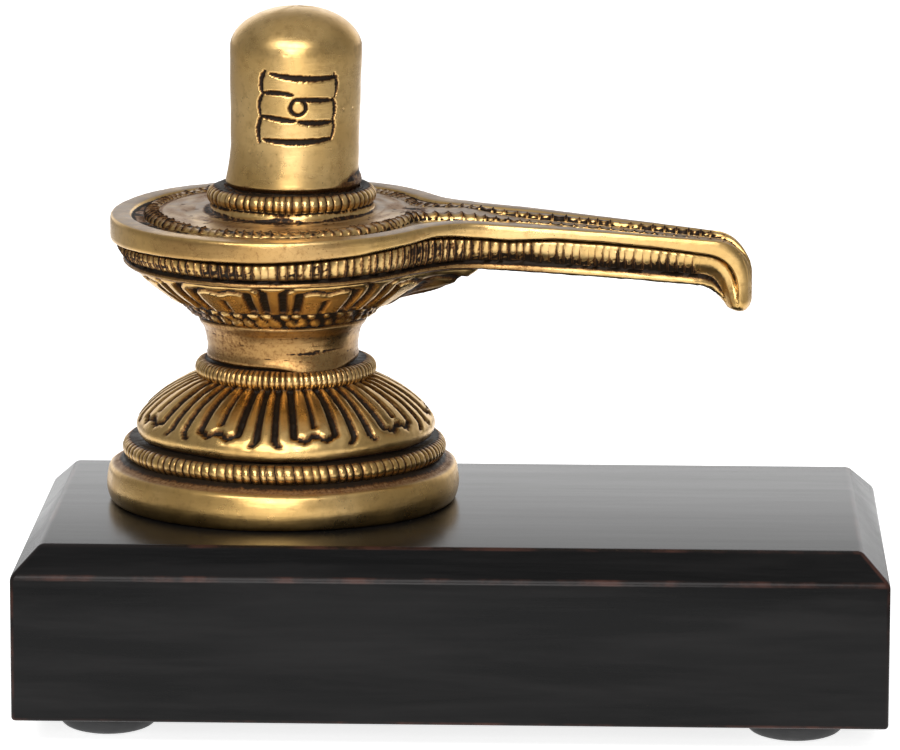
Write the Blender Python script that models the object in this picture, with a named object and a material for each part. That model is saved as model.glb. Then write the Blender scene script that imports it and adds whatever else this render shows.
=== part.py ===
"""Small shiva lingam of cast brass on a black wooden plinth with rubber feet.

All sizes are in millimetres, with +Z up, and meshes are made in metres. The origin is on the
ground under the plinth's centre. The plinth's length and the lingam's spout run along +X, and
the front of the piece faces -Y.
"""
import math

import bpy
import bmesh
import numpy as np

MM = 0.001

# Wooden plinth
PLINTH_LENGTH = 115.0
PLINTH_DEPTH = 62.0
PLINTH_HEIGHT = 23.1
PLINTH_CHAMFER = 3.7
PLINTH_EDGE_ROUND = 0.45

# Rubber feet under the plinth
FOOT_RADIUS = 6.6
FOOT_CONTACT_RADIUS = 3.8
FOOT_HEIGHT = 3.0
FOOT_RIM_HEIGHT = 0.5
FOOT_END_INSET = 12.0
FOOT_SIDE_INSET = 10.5

# Clearance between pieces that touch
SEAT_GAP = 0.3

# Place of the casting on the plinth
PEDESTAL_END_INSET = 34.0
PEDESTAL_BACK_SHIFT = 4.2

# Round base of the casting
BASE_RADIUS = 22.7
BASE_BULGE = 0.45
BASE_TOP_RADIUS = 23.4
BASE_HEIGHT = 5.45
BASE_EDGE_ROUND = 0.5

# Lower reeded ring, between the base and the petalled foot
LOWER_RING_RADIUS = 22.1
LOWER_RING_TUBE = 1.35
LOWER_RING_GROOVE = 1.4
RING_SEAT = 0.3
FOOT_GROOVE_HEIGHT = 1.15

# Petalled foot
FOOT_DOME_RADIUS = 20.1
FOOT_DOME_LIP = 1.9
LIP_ROUND = 0.5
FOOT_DOME_HEIGHT = 5.5
FOOT_DOME_TOP_RADIUS = 12.9
FOOT_DOME_BULGE = 0.4
FOOT_PETALS = 10
FOOT_PETAL_TURN = 11.0
FOOT_CUT_DIRECTION = (0.65, 0.76)

# Ring at the waist, and the neck above it
WAIST_RING_RADIUS = 12.25
WAIST_RING_TUBE = 1.3
WAIST_RING_SINK = 0.15
NECK_GROOVE = 0.7
NECK_RADIUS = 10.0
NECK_TOP_RADIUS = 11.2
NECK_HEIGHT = 4.8
FRIEZE_HEIGHT = 2.7
FRIEZE_STEP = 0.3
FRIEZE_TOP_RADIUS = 15.0

# Petalled bowl under the yoni
BOWL_TOP_RADIUS = 20.9
BOWL_HEIGHT = 5.2
BOWL_BULGE = 0.6
BOWL_PETALS = 8
BOWL_PETAL_TURN = 18.0
BOWL_CUT_DIRECTION = (0.7, -0.7)
BOWL_LOBE_REACH = 27.0
BOWL_SEAT = 0.35

# Depth of the cut between and inside the petals
PETAL_CUT_DEPTH = 0.75

# Yoni, with a rim that runs on into the spout
YONI_RADIUS = 23.4
YONI_THICKNESS = 6.2
YONI_FILLET = 13.5
YONI_RISE_ALONG = 0.014
YONI_RISE_BACK = 0.024
RIM_BAND = 2.75
RIM_EDGE_ROUND = 0.4
RIM_TOP_SHARE = 0.48
RIM_INNER_STEP = 0.1
RIM_GROOVE_DEPTH = 0.5
UNDER_RIM_INSET = 1.1
UNDER_BAND_STEP = 0.9
UNDER_BAND_HEIGHT = 1.1
UNDER_GROOVE_DEPTH = 0.6
UNDER_LIP_HEIGHT = 0.5

# Rope ridge on the yoni, which runs on as two beaded lines along the spout
ROPE_RADIUS = 18.2
ROPE_HALF_WIDTH = 1.2
ROPE_RAISE = 0.5
ROPE_SHOULDER = 0.7
ROPE_WIDEN_LENGTH = 1.2
BEAD_LINE_HALF_WIDTH = 0.75
BEAD_LINE_SINK = 0.15
CHANNEL_RIM_WIDTH = 4.0
ROPE_FILLET = 2.5
CHANNEL_HALF_SPACING = 2.75
CHANNEL_TAPER = 0.012
YONI_FLOOR_RAISE = 0.15
CHANNEL_SINK = 0.75

# Spout
SPOUT_TURN = -3.3
SPOUT_HALF_WIDTH = 7.0
SPOUT_WIDTH_STATION = 31.5
SPOUT_TAPER = 0.111
SPOUT_DROOP_START = 24.0
SPOUT_DROOP_SLOPE = 0.058
SPOUT_DROOP_CURVE = 0.00085
BEAK_UNDER_START = 55.7
BEAK_TOP_START = 58.3
BEAK_BEND_RADIUS = 5.4
BEAK_DROP = 4.7
BEAK_END_DEPTH = 2.9
BEAK_END_HALF_WIDTH = 3.3
BEAK_CLOSE_START = 0.85
BEAK_CLOSE_SPAN = 0.19
BEAK_UNDER_LEAN = 0.35
BEAK_UNDER_PULL = (0.4, 0.3)
BEAK_UNDER_SWING = (-0.1, 1.6)

# Ring round the linga's foot, and the linga
LINGA_RING_RADIUS = 11.4
LINGA_RING_TUBE = 1.5
LINGA_RING_RAISE = 2.75
LINGA_RING_FOOT_INSET = 0.5
LINGA_RING_FOOT_RAISE = 0.3
LINGA_RING_FOOT_HEIGHT = 0.6
LINGA_ROOT_RAISE = 0.8
LINGA_WAIST_PLACE = 0.25
LINGA_RADIUS = 8.75
LINGA_WAIST_RADIUS = 8.6
LINGA_TOP_RADIUS = 8.9
LINGA_HEIGHT = 28.0
LINGA_DOME_HEIGHT = 5.6
LINGA_DOME_TURNS = (20, 40, 58, 74)

# The hand-made casting stands a little out of true: sideways shift of its parts
LINGA_RING_SHIFT = 1.1
LINGA_FOOT_SHIFT = 1.25
LINGA_TOP_SHIFT = 1.7

# The side of the casting that the petals are set out from, in degrees from +X
FRONT_ANGLE = -86.65

# How finely the faceted solid is divided
ROUND_COLUMNS = 48
NECK_COLUMNS = 40
LINGA_COLUMNS = 28
RING_ROWS = 4
NECK_ROWS = 4
BEAK_STATIONS = 8
SPOUT_STATIONS = 7
FILLET_STATIONS = 6
YONI_STATIONS = 18
FOOT_COLUMNS = 16

BRASS_Z = FOOT_HEIGHT + SEAT_GAP + PLINTH_HEIGHT
PEDESTAL_X = PEDESTAL_END_INSET - PLINTH_LENGTH / 2
PEDESTAL_Y = PEDESTAL_BACK_SHIFT


def smoothstep(value):
    """Ease a value from 0 to 1, flat at both ends."""
    clipped = np.clip(value, 0.0, 1.0)
    return clipped * clipped * (3.0 - 2.0 * clipped)


def clear_scene():
    """Remove whatever the file holds, so that the model starts from nothing."""
    for old in list(bpy.data.objects):
        bpy.data.objects.remove(old, do_unlink=True)


def make_material(name, colour, roughness, metallic):
    """Make a plain material with the part's colour and finish."""
    material = bpy.data.materials.new(name)
    material.use_nodes = True
    shader = material.node_tree.nodes["Principled BSDF"]
    shader.inputs["Base Color"].default_value = (*colour, 1.0)
    shader.inputs["Roughness"].default_value = roughness
    shader.inputs["Metallic"].default_value = metallic
    return material


def add_object(name, mesh, material):
    """Put a mesh in the scene as one named sub-part."""
    mesh.materials.append(material)
    part = bpy.data.objects.new(name, mesh)
    bpy.context.scene.collection.objects.link(part)
    return part


class Skin:
    """A closed surface, gathered ring by ring."""

    def __init__(self):
        self.points = []
        self.faces = []

    def add(self, points):
        """Add an array of points and return their numbers."""
        start = len(self.points)
        self.points.extend(map(tuple, np.asarray(points) * MM))
        return list(range(start, len(self.points)))

    def bridge(self, lower, upper, closed=True):
        """Join two rows of equal length with quads."""
        count = len(lower)
        last = count if closed else count - 1
        for i in range(last):
            j = (i + 1) % count
            self.faces.append((lower[i], lower[j], upper[j], upper[i]))

    def fan(self, ring, centre):
        """Close a ring to a single middle point."""
        for i, corner in enumerate(ring):
            self.faces.append((corner, ring[(i + 1) % len(ring)], centre))

    def zip_loops(self, first, second, centre):
        """Join two loops of different lengths with triangles, in order of angle about a centre."""
        loops = []
        for loop in (first, second):
            plan = np.array([self.points[i][:2] for i in loop]) / MM - centre
            angles = np.unwrap(np.arctan2(plan[:, 1], plan[:, 0]))
            if angles[-1] < angles[0]:
                loop, angles = loop[::-1], angles[::-1]
            lowest = int(np.argmin(np.mod(angles, 2 * math.pi)))
            loop = list(loop[lowest:]) + list(loop[:lowest])
            angles = np.mod(np.roll(angles, -lowest), 2 * math.pi)
            loops.append((loop + loop[:1], np.append(angles, angles[0] + 2 * math.pi)))
        (loop_a, angle_a), (loop_b, angle_b) = loops
        i = j = 0
        while i < len(first) or j < len(second):
            if j == len(second) or (i < len(first) and angle_a[i + 1] <= angle_b[j + 1]):
                self.faces.append((loop_a[i], loop_a[i + 1], loop_b[j]))
                i += 1
            else:
                self.faces.append((loop_a[i], loop_b[j + 1], loop_b[j]))
                j += 1

    def to_mesh(self, name):
        """Make the mesh, with all faces pointing out."""
        mesh = bpy.data.meshes.new(name)
        mesh.from_pydata(self.points, [], self.faces)
        work = bmesh.new()
        work.from_mesh(mesh)
        bmesh.ops.recalc_face_normals(work, faces=work.faces)
        work.to_mesh(mesh)
        work.free()
        mesh.shade_smooth()
        mesh.set_sharp_from_angle(angle=math.radians(40))
        return mesh


def arc_rows(radius, height, tube_out, tube_up, first_angle, last_angle, steps):
    """Rows of a rounded ring: (radius, height) pairs on an arc, angles in degrees from outwards."""
    rows = []
    for angle in np.radians(np.linspace(first_angle, last_angle, steps + 1)):
        rows.append((radius + tube_out * math.cos(angle), height + tube_up * math.sin(angle)))
    return rows


def circle(angles, radius, height, shift):
    """Points of a ring about the casting's axis, with its sideways shift."""
    x = PEDESTAL_X + shift + radius * np.cos(angles)
    y = PEDESTAL_Y + radius * np.sin(angles)
    z = BRASS_Z + height + 0.0 * angles
    return np.stack([x, y, z], axis=-1)


def even_angles(count):
    """Evenly spaced angles round the axis."""
    return np.arange(count) * 2 * math.pi / count


# Places across a petal, from its middle (0) to the rib beside it (1)
PETAL_SLIT = 0.12
PETAL_LEAF_SIDE = 0.40
PETAL_LEAF_GROOVE = 0.52
PETAL_BORDER = 0.66
PETAL_OUTER_GROOVE = 0.82
# Places along a petal, from its root (0) to its tip (1)
PETAL_SLIT_END = 0.52
PETAL_LEAF_TIP = 0.72
PETAL_TIP_LOBE = 0.05
PETAL_TIP_GROOVE = 0.09
PETAL_OUTER_END = 0.95
# Share of the full cut that each groove takes
PETAL_SLIT_CUT = 0.8
PETAL_LEAF_CUT = 1.0
PETAL_OUTER_CUT = 0.9
# Rows along a petal
PETAL_ROWS = (0.0, 0.12, 0.5, 0.64, 0.73, 0.83, 1.0)


def petal_angles(petals, turn):
    """Angles that follow the edges and grooves of each petal."""
    half = math.pi / petals
    places = (PETAL_SLIT, PETAL_LEAF_SIDE, PETAL_LEAF_GROOVE, PETAL_BORDER, PETAL_OUTER_GROOVE)
    across = [-1.0] + [-place for place in reversed(places)] + [0.0] + list(places)
    start = math.radians(FRONT_ANGLE + turn)
    angles = [start + (2 * i + place) * half for i in range(petals) for place in across]
    return np.array(angles), np.tile(np.abs(across), petals)


def petal_cut(across, along):
    """Share of the full cut depth at places across and along a petal."""
    tip = PETAL_LEAF_TIP + PETAL_TIP_LOBE * np.sin(across / PETAL_LEAF_GROOVE * math.pi) ** 2
    slit = (across < PETAL_SLIT / 2) & (along < PETAL_SLIT_END)
    side = np.isclose(across, PETAL_LEAF_GROOVE) & (along < tip)
    end = (across <= PETAL_LEAF_GROOVE) & (np.abs(along - tip) < PETAL_TIP_GROOVE)
    outer = np.isclose(across, PETAL_OUTER_GROOVE) & (along < PETAL_OUTER_END)
    return PETAL_SLIT_CUT * slit + PETAL_LEAF_CUT * (side | (end & ~slit)) + PETAL_OUTER_CUT * outer


def yoni_plane(along, across):
    """Height of the slightly tilted yoni, at places along its spout and across to its back."""
    return YONI_RISE_ALONG * along + YONI_RISE_BACK * across


class Keyhole:
    """Half of a keyhole outline: a straight edge, a fillet and a round arc, by length from the tip."""

    def __init__(self, radius, half_width, taper, fillet, tip):
        scale = math.hypot(1.0, taper)
        normal = np.array([taper, 1.0]) / scale
        along = np.array([1.0, -taper]) / scale
        offset = half_width / scale
        reach = math.sqrt((radius + fillet) ** 2 - (offset + fillet) ** 2)
        self.centre = normal * (offset + fillet) + along * reach
        self.radius = radius
        self.fillet = fillet
        self.along = along
        self.normal = normal
        line_end = self.centre - normal * fillet
        self.edge_end = line_end
        self.line_length = (tip - line_end[0]) * scale
        self.arc_start = math.atan2(self.centre[1], self.centre[0])
        first = math.atan2(-normal[1], -normal[0])
        last = self.arc_start + math.pi
        self.fillet_first = first
        self.fillet_turn = (last - first + math.pi) % (2 * math.pi) - math.pi
        self.fillet_length = fillet * abs(self.fillet_turn)
        self.arc_length = radius * (math.pi - self.arc_start)
        self.length = self.line_length + self.fillet_length + self.arc_length

    def length_at_station(self, station):
        """Length from the tip to a place along the straight edge."""
        return self.line_length - (station - self.edge_end[0]) / self.along[0]

    def length_at_angle(self, angle):
        """Length from the tip to an angle on the round arc."""
        return self.line_length + self.fillet_length + self.radius * (angle - self.arc_start)

    def points(self, lengths):
        """Plan points at the given lengths from the tip."""
        on_line = self.edge_end + (self.line_length - lengths)[:, None] * self.along
        share = (lengths - self.line_length) / self.fillet_length
        turn = self.fillet_first + self.fillet_turn * share
        on_fillet = self.centre + self.fillet * np.stack([np.cos(turn), np.sin(turn)], axis=-1)
        angle = self.arc_start + (lengths - self.line_length - self.fillet_length) / self.radius
        on_arc = self.radius * np.stack([np.cos(angle), np.sin(angle)], axis=-1)
        past_line = (lengths > self.line_length)[:, None]
        past_fillet = (lengths > self.line_length + self.fillet_length)[:, None]
        return np.where(past_fillet, on_arc, np.where(past_line, on_fillet, on_line))


def droop(station):
    """How far the spout has sunk below the yoni's plane, by distance from the middle."""
    past = np.maximum(station - SPOUT_DROOP_START, 0.0)
    return -(SPOUT_DROOP_SLOPE * past + SPOUT_DROOP_CURVE * past * past)


def beak_lengths():
    """Heading of the top line where the beak begins, and the lengths of its parts."""
    past = BEAK_TOP_START - SPOUT_DROOP_START
    heading = math.atan(SPOUT_DROOP_SLOPE + 2 * SPOUT_DROOP_CURVE * past - YONI_RISE_ALONG)
    bend = BEAK_BEND_RADIUS * (math.pi / 2 - heading)
    return heading, bend


BEAK_HEADING, BEAK_BEND_LENGTH = beak_lengths()
TIP_STATION = BEAK_TOP_START + BEAK_BEND_LENGTH + BEAK_DROP


def spout_top(station):
    """Top line of the spout, as (reach, height) at lengths measured along it."""
    straight = np.minimum(station, BEAK_TOP_START)
    reach = straight
    height = droop(straight) + YONI_RISE_ALONG * straight
    turned = np.clip(station - BEAK_TOP_START, 0.0, BEAK_BEND_LENGTH) / BEAK_BEND_RADIUS
    heading = BEAK_HEADING + turned
    reach = reach + BEAK_BEND_RADIUS * (np.sin(heading) - math.sin(BEAK_HEADING))
    height = height - BEAK_BEND_RADIUS * (math.cos(BEAK_HEADING) - np.cos(heading))
    height = height - np.maximum(station - BEAK_TOP_START - BEAK_BEND_LENGTH, 0.0)
    return reach, height


def spout_under(station):
    """Underside line of the spout, level with spout_top at the same length."""
    straight = np.minimum(station, BEAK_UNDER_START)
    reach = straight
    height = droop(straight) + YONI_RISE_ALONG * straight - YONI_THICKNESS
    share = np.clip((station - BEAK_UNDER_START) / (TIP_STATION - BEAK_UNDER_START), 0.0, 1.0)
    start = np.array([BEAK_UNDER_START, float(spout_height_at(BEAK_UNDER_START))])
    end_reach, end_height = spout_top(np.array([TIP_STATION]))
    end = np.array([end_reach[0] - BEAK_END_DEPTH, end_height[0]])
    run = end[0] - start[0]
    lean = BEAK_UNDER_LEAN * (start[1] - end[1])
    first = start + np.array([BEAK_UNDER_PULL[0] * run, BEAK_UNDER_SWING[0] * lean])
    second = end + np.array([-BEAK_UNDER_PULL[1] * run, BEAK_UNDER_SWING[1] * lean])
    keep = (1 - share)[:, None]
    pass_on = share[:, None]
    curve = (keep ** 3 * start + 3 * keep ** 2 * pass_on * first
             + 3 * keep * pass_on ** 2 * second + pass_on ** 3 * end)
    bent = share > 0
    return np.where(bent, curve[:, 0], reach), np.where(bent, curve[:, 1], height)


def spout_height_at(station):
    """Height of the straight underside at a place along the spout."""
    return droop(station) + YONI_RISE_ALONG * station - YONI_THICKNESS


def yoni_columns():
    """Lengths along half the rim, at which the yoni's rows have their points."""
    rim = Keyhole(YONI_RADIUS, SPOUT_HALF_WIDTH + SPOUT_TAPER * SPOUT_WIDTH_STATION,
                  SPOUT_TAPER, YONI_FILLET, TIP_STATION)
    rope = Keyhole(ROPE_RADIUS, CHANNEL_HALF_SPACING + CHANNEL_TAPER * SPOUT_WIDTH_STATION,
                   CHANNEL_TAPER, ROPE_FILLET, TIP_STATION)
    beak = rim.length_at_station(BEAK_UNDER_START)
    breaks = (0.0, beak, rim.line_length, rim.line_length + rim.fillet_length, rim.length)
    counts = (BEAK_STATIONS, SPOUT_STATIONS, FILLET_STATIONS, YONI_STATIONS)
    lengths = [np.linspace(breaks[i], breaks[i + 1], counts[i] + 1)[:-1] for i in range(4)]
    lengths = np.append(np.concatenate(lengths), rim.length)
    rope_breaks = (0.0, rope.length_at_station(rim.edge_end[0]),
                   rope.length_at_angle(rim.arc_start), rope.length)
    rim_breaks = (0.0, rim.line_length, rim.line_length + rim.fillet_length, rim.length)
    matched = np.interp(lengths, rim_breaks, rope_breaks)
    return rim.points(lengths), rope.points(matched)


def yoni_section(rim, rope):
    """Rows across the rim and rope, each as (plan points, depth below the rim's top)."""
    gap = rope - rim
    width = np.linalg.norm(gap, axis=1)
    inward = gap / width[:, None]
    on_disc = smoothstep((width - CHANNEL_RIM_WIDTH) / ROPE_WIDEN_LENGTH)
    half_rope = BEAD_LINE_HALF_WIDTH + (ROPE_HALF_WIDTH - BEAD_LINE_HALF_WIDTH) * on_disc
    rim_top = RIM_TOP_SHARE * np.minimum(width, YONI_RADIUS - ROPE_RADIUS)
    rope_rise = ROPE_RAISE * on_disc - BEAD_LINE_SINK * (1.0 - on_disc)
    floor = -CHANNEL_SINK + (CHANNEL_SINK + YONI_FLOOR_RAISE) * on_disc
    groove = np.full_like(width, -RIM_GROOVE_DEPTH)

    def from_rope(offset, height):
        return rope + inward * offset[:, None], height

    def from_rim(offset, height):
        return rim + inward * (offset + 0.0 * width)[:, None], height + 0.0 * width

    band = -RIM_BAND
    reed = band - UNDER_BAND_STEP
    under = reed - UNDER_BAND_HEIGHT
    lip_inset = UNDER_RIM_INSET + UNDER_GROOVE_DEPTH
    return [
        from_rope(half_rope, floor),
        from_rope(ROPE_SHOULDER * half_rope, floor + ROPE_SHOULDER * (rope_rise - floor)),
        from_rope(0.0 * width, rope_rise),
        from_rope(-ROPE_SHOULDER * half_rope, groove + ROPE_SHOULDER * (rope_rise - groove)),
        from_rope(-half_rope, groove),
        from_rim(rim_top + RIM_INNER_STEP, groove),
        from_rim(rim_top, -RIM_INNER_STEP),
        from_rim(RIM_EDGE_ROUND, 0.0),
        from_rim(0.0, -RIM_EDGE_ROUND),
        from_rim(0.0, band),
        from_rim(lip_inset, (band + reed) / 2),
        from_rim(UNDER_RIM_INSET, reed),
        from_rim(UNDER_RIM_INSET, under),
        from_rim(lip_inset, under - UNDER_GROOVE_DEPTH),
        from_rim(lip_inset, UNDER_LIP_HEIGHT - YONI_THICKNESS),
        from_rim(lip_inset + UNDER_LIP_HEIGHT, -YONI_THICKNESS),
    ]


def beak_round(rows, stations):
    """Ease the section into a plain rounded tongue towards the spout's tip."""
    share = (stations - BEAK_TOP_START) / (TIP_STATION - BEAK_TOP_START)
    ease = smoothstep(share)
    past = np.clip(share - BEAK_CLOSE_START, 0.0, None) / BEAK_CLOSE_SPAN
    close = np.sqrt(np.clip(1.0 - past ** 2, 0.0, 1.0))
    middle = -YONI_THICKNESS / 2
    count = len(rows)
    rounded = []
    for number, (plan, depth) in enumerate(rows):
        angle = math.pi * (number + 0.5) / count
        across = BEAK_END_HALF_WIDTH * math.sin(angle)
        sunk = -YONI_THICKNESS * (1 - math.cos(angle)) / 2
        width = plan[:, 1] + (across - plan[:, 1]) * ease
        height = depth + (sunk - depth) * ease
        width = width * close
        height = middle + (height - middle) * close
        rounded.append((np.stack([plan[:, 0], width], axis=-1), height))
    return rounded


def place_yoni(plan, depth, stations):
    """Bend a row down along the spout, tilt it with the yoni and turn it to its place."""
    past_beak = stations > BEAK_UNDER_START
    top_reach, top_height = spout_top(stations)
    under_reach, under_height = spout_under(stations)
    share = -depth / YONI_THICKNESS
    bent_reach = top_reach + (under_reach - top_reach) * share
    bent_height = top_height + (under_height - top_height) * share
    flat_height = depth + droop(plan[:, 0]) + yoni_plane(plan[:, 0], 0.0)
    reach = np.where(past_beak, bent_reach, plan[:, 0])
    height = np.where(past_beak, bent_height, flat_height) + YONI_RISE_BACK * plan[:, 1]
    turn = math.radians(SPOUT_TURN)
    x = PEDESTAL_X + reach * math.cos(turn) - plan[:, 1] * math.sin(turn)
    y = PEDESTAL_Y + reach * math.sin(turn) + plan[:, 1] * math.cos(turn)
    return np.stack([x, y, BRASS_Z + YONI_TOP + height], axis=-1)


# Heights in the casting, from the plinth's top upwards
LOWER_RING_Z = BASE_HEIGHT + RING_SEAT + LOWER_RING_TUBE
FOOT_LIP_Z = LOWER_RING_Z + LOWER_RING_TUBE + FOOT_GROOVE_HEIGHT
FOOT_TOP_Z = FOOT_LIP_Z + FOOT_DOME_LIP + FOOT_DOME_HEIGHT
WAIST_RING_Z = FOOT_TOP_Z + WAIST_RING_TUBE - WAIST_RING_SINK
NECK_Z = WAIST_RING_Z + WAIST_RING_TUBE + NECK_GROOVE
FRIEZE_Z = NECK_Z + NECK_HEIGHT
BOWL_Z = FRIEZE_Z + FRIEZE_HEIGHT
YONI_TOP = BOWL_Z + BOWL_HEIGHT + YONI_THICKNESS
LINGA_RING_Z = YONI_TOP + LINGA_RING_RAISE
LINGA_TOP_Z = YONI_TOP + LINGA_HEIGHT


def base_rows():
    """Profile of the round base and the lower reeded ring, bottom to top."""
    side = [(BASE_RADIUS + (BASE_TOP_RADIUS - BASE_RADIUS) * share + BASE_BULGE * math.sin(math.pi * share),
             SEAT_GAP + BASE_EDGE_ROUND + share * (BASE_HEIGHT - SEAT_GAP - 2 * BASE_EDGE_ROUND))
            for share in (0.0, 0.5, 1.0)]
    core = LOWER_RING_RADIUS - LOWER_RING_TUBE
    rows = [(BASE_RADIUS - BASE_EDGE_ROUND, SEAT_GAP)] + side
    rows.append((BASE_TOP_RADIUS - BASE_EDGE_ROUND, BASE_HEIGHT))
    rows.append((core + RING_SEAT, BASE_HEIGHT + RING_SEAT))
    rows += arc_rows(core, LOWER_RING_Z, LOWER_RING_TUBE, LOWER_RING_TUBE, -60, 60, RING_ROWS)
    rows.append((core - LOWER_RING_GROOVE, LOWER_RING_Z + LOWER_RING_TUBE))
    return rows


def foot_rows():
    """Profile of the petalled foot: lip rows, then petal rows from tip to root."""
    lip_low = (FOOT_DOME_RADIUS - LIP_ROUND, FOOT_LIP_Z)
    lip_mid = (FOOT_DOME_RADIUS, FOOT_LIP_Z + FOOT_DOME_LIP / 2)
    rows = [(lip_low, None), (lip_mid, None)]
    for along in reversed(PETAL_ROWS):
        share = 1.0 - along
        radius = FOOT_DOME_TOP_RADIUS + (FOOT_DOME_RADIUS - LIP_ROUND / 2 - FOOT_DOME_TOP_RADIUS) * along
        radius += FOOT_DOME_BULGE * math.sin(math.pi * along)
        rows.append(((radius, FOOT_LIP_Z + FOOT_DOME_LIP + FOOT_DOME_HEIGHT * share), along))
    return rows


def waist_rows():
    """Profile of the waist ring and the neck."""
    core = WAIST_RING_RADIUS - WAIST_RING_TUBE
    rows = arc_rows(core, WAIST_RING_Z, WAIST_RING_TUBE, WAIST_RING_TUBE, -65, 75, RING_ROWS)
    for share in np.linspace(0.0, 1.0, NECK_ROWS):
        flare = (NECK_TOP_RADIUS - NECK_RADIUS) * smoothstep(share) ** 1.5
        rows.append((NECK_RADIUS + flare, NECK_Z + share * NECK_HEIGHT))
    return rows


def bowl_rows():
    """Profile of the frieze and the round part of the bowl: petal rows from root to tip."""
    rows = [((NECK_TOP_RADIUS + FRIEZE_STEP, FRIEZE_Z + FRIEZE_STEP), None)]
    rows.append(((FRIEZE_TOP_RADIUS - FRIEZE_STEP, BOWL_Z - FRIEZE_STEP), None))
    for along in PETAL_ROWS:
        radius = FRIEZE_TOP_RADIUS + (BOWL_TOP_RADIUS - FRIEZE_TOP_RADIUS) * along
        radius += BOWL_BULGE * math.sin(math.pi * along)
        rows.append(((radius, BOWL_Z + BOWL_HEIGHT * along), along))
    return rows


def linga_rows():
    """Profile of the ring round the linga and of the linga, with each row's sideways shift."""
    core = LINGA_RING_RADIUS - LINGA_RING_TUBE
    foot = LINGA_RING_RADIUS - LINGA_RING_FOOT_INSET
    low = YONI_TOP + LINGA_RING_FOOT_RAISE
    rows = [(foot, low, LINGA_RING_SHIFT), (foot, low + LINGA_RING_FOOT_HEIGHT, LINGA_RING_SHIFT)]
    for radius, height in arc_rows(core, LINGA_RING_Z, LINGA_RING_TUBE, LINGA_RING_TUBE, -40, 110, RING_ROWS):
        rows.append((radius, height, LINGA_RING_SHIFT))
    root = LINGA_RING_Z + LINGA_ROOT_RAISE
    shoulder = LINGA_TOP_Z - LINGA_DOME_HEIGHT
    sides = ((0.0, LINGA_RADIUS), (LINGA_WAIST_PLACE, LINGA_WAIST_RADIUS), (1.0, LINGA_TOP_RADIUS))
    for share, radius in sides:
        shift = LINGA_FOOT_SHIFT + (LINGA_TOP_SHIFT - LINGA_FOOT_SHIFT) * share
        rows.append((radius, root + (shoulder - root) * share, shift))
    for turn in np.radians(LINGA_DOME_TURNS):
        radius = LINGA_TOP_RADIUS * math.cos(turn)
        rows.append((radius, shoulder + LINGA_DOME_HEIGHT * math.sin(turn), LINGA_TOP_SHIFT))
    return rows


def add_petal_rings(skin, rows, petals, turn, outward, swell=None):
    """Add the rings of a petalled band, cut inwards along (radius, height) direction `outward`.

    `swell` gives, by angle, how far the band's widest ring stands out beyond a true circle.
    """
    angles, across = petal_angles(petals, turn)
    rings = []
    for (radius, height), along in rows:
        cut = np.zeros_like(across)
        out = radius + cut
        lift = cut
        if along is not None:
            cut = PETAL_CUT_DEPTH * petal_cut(across, along)
        if along is not None and swell is not None:
            out = radius + along * swell(angles)
            lift = along * yoni_plane(out * np.cos(angles), out * np.sin(angles))
        ring = circle(angles, out - cut * outward[0], height - cut * outward[1] + lift, 0.0)
        rings.append(skin.add(ring))
    for lower, upper in zip(rings, rings[1:]):
        skin.bridge(lower, upper)
    return rings


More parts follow.
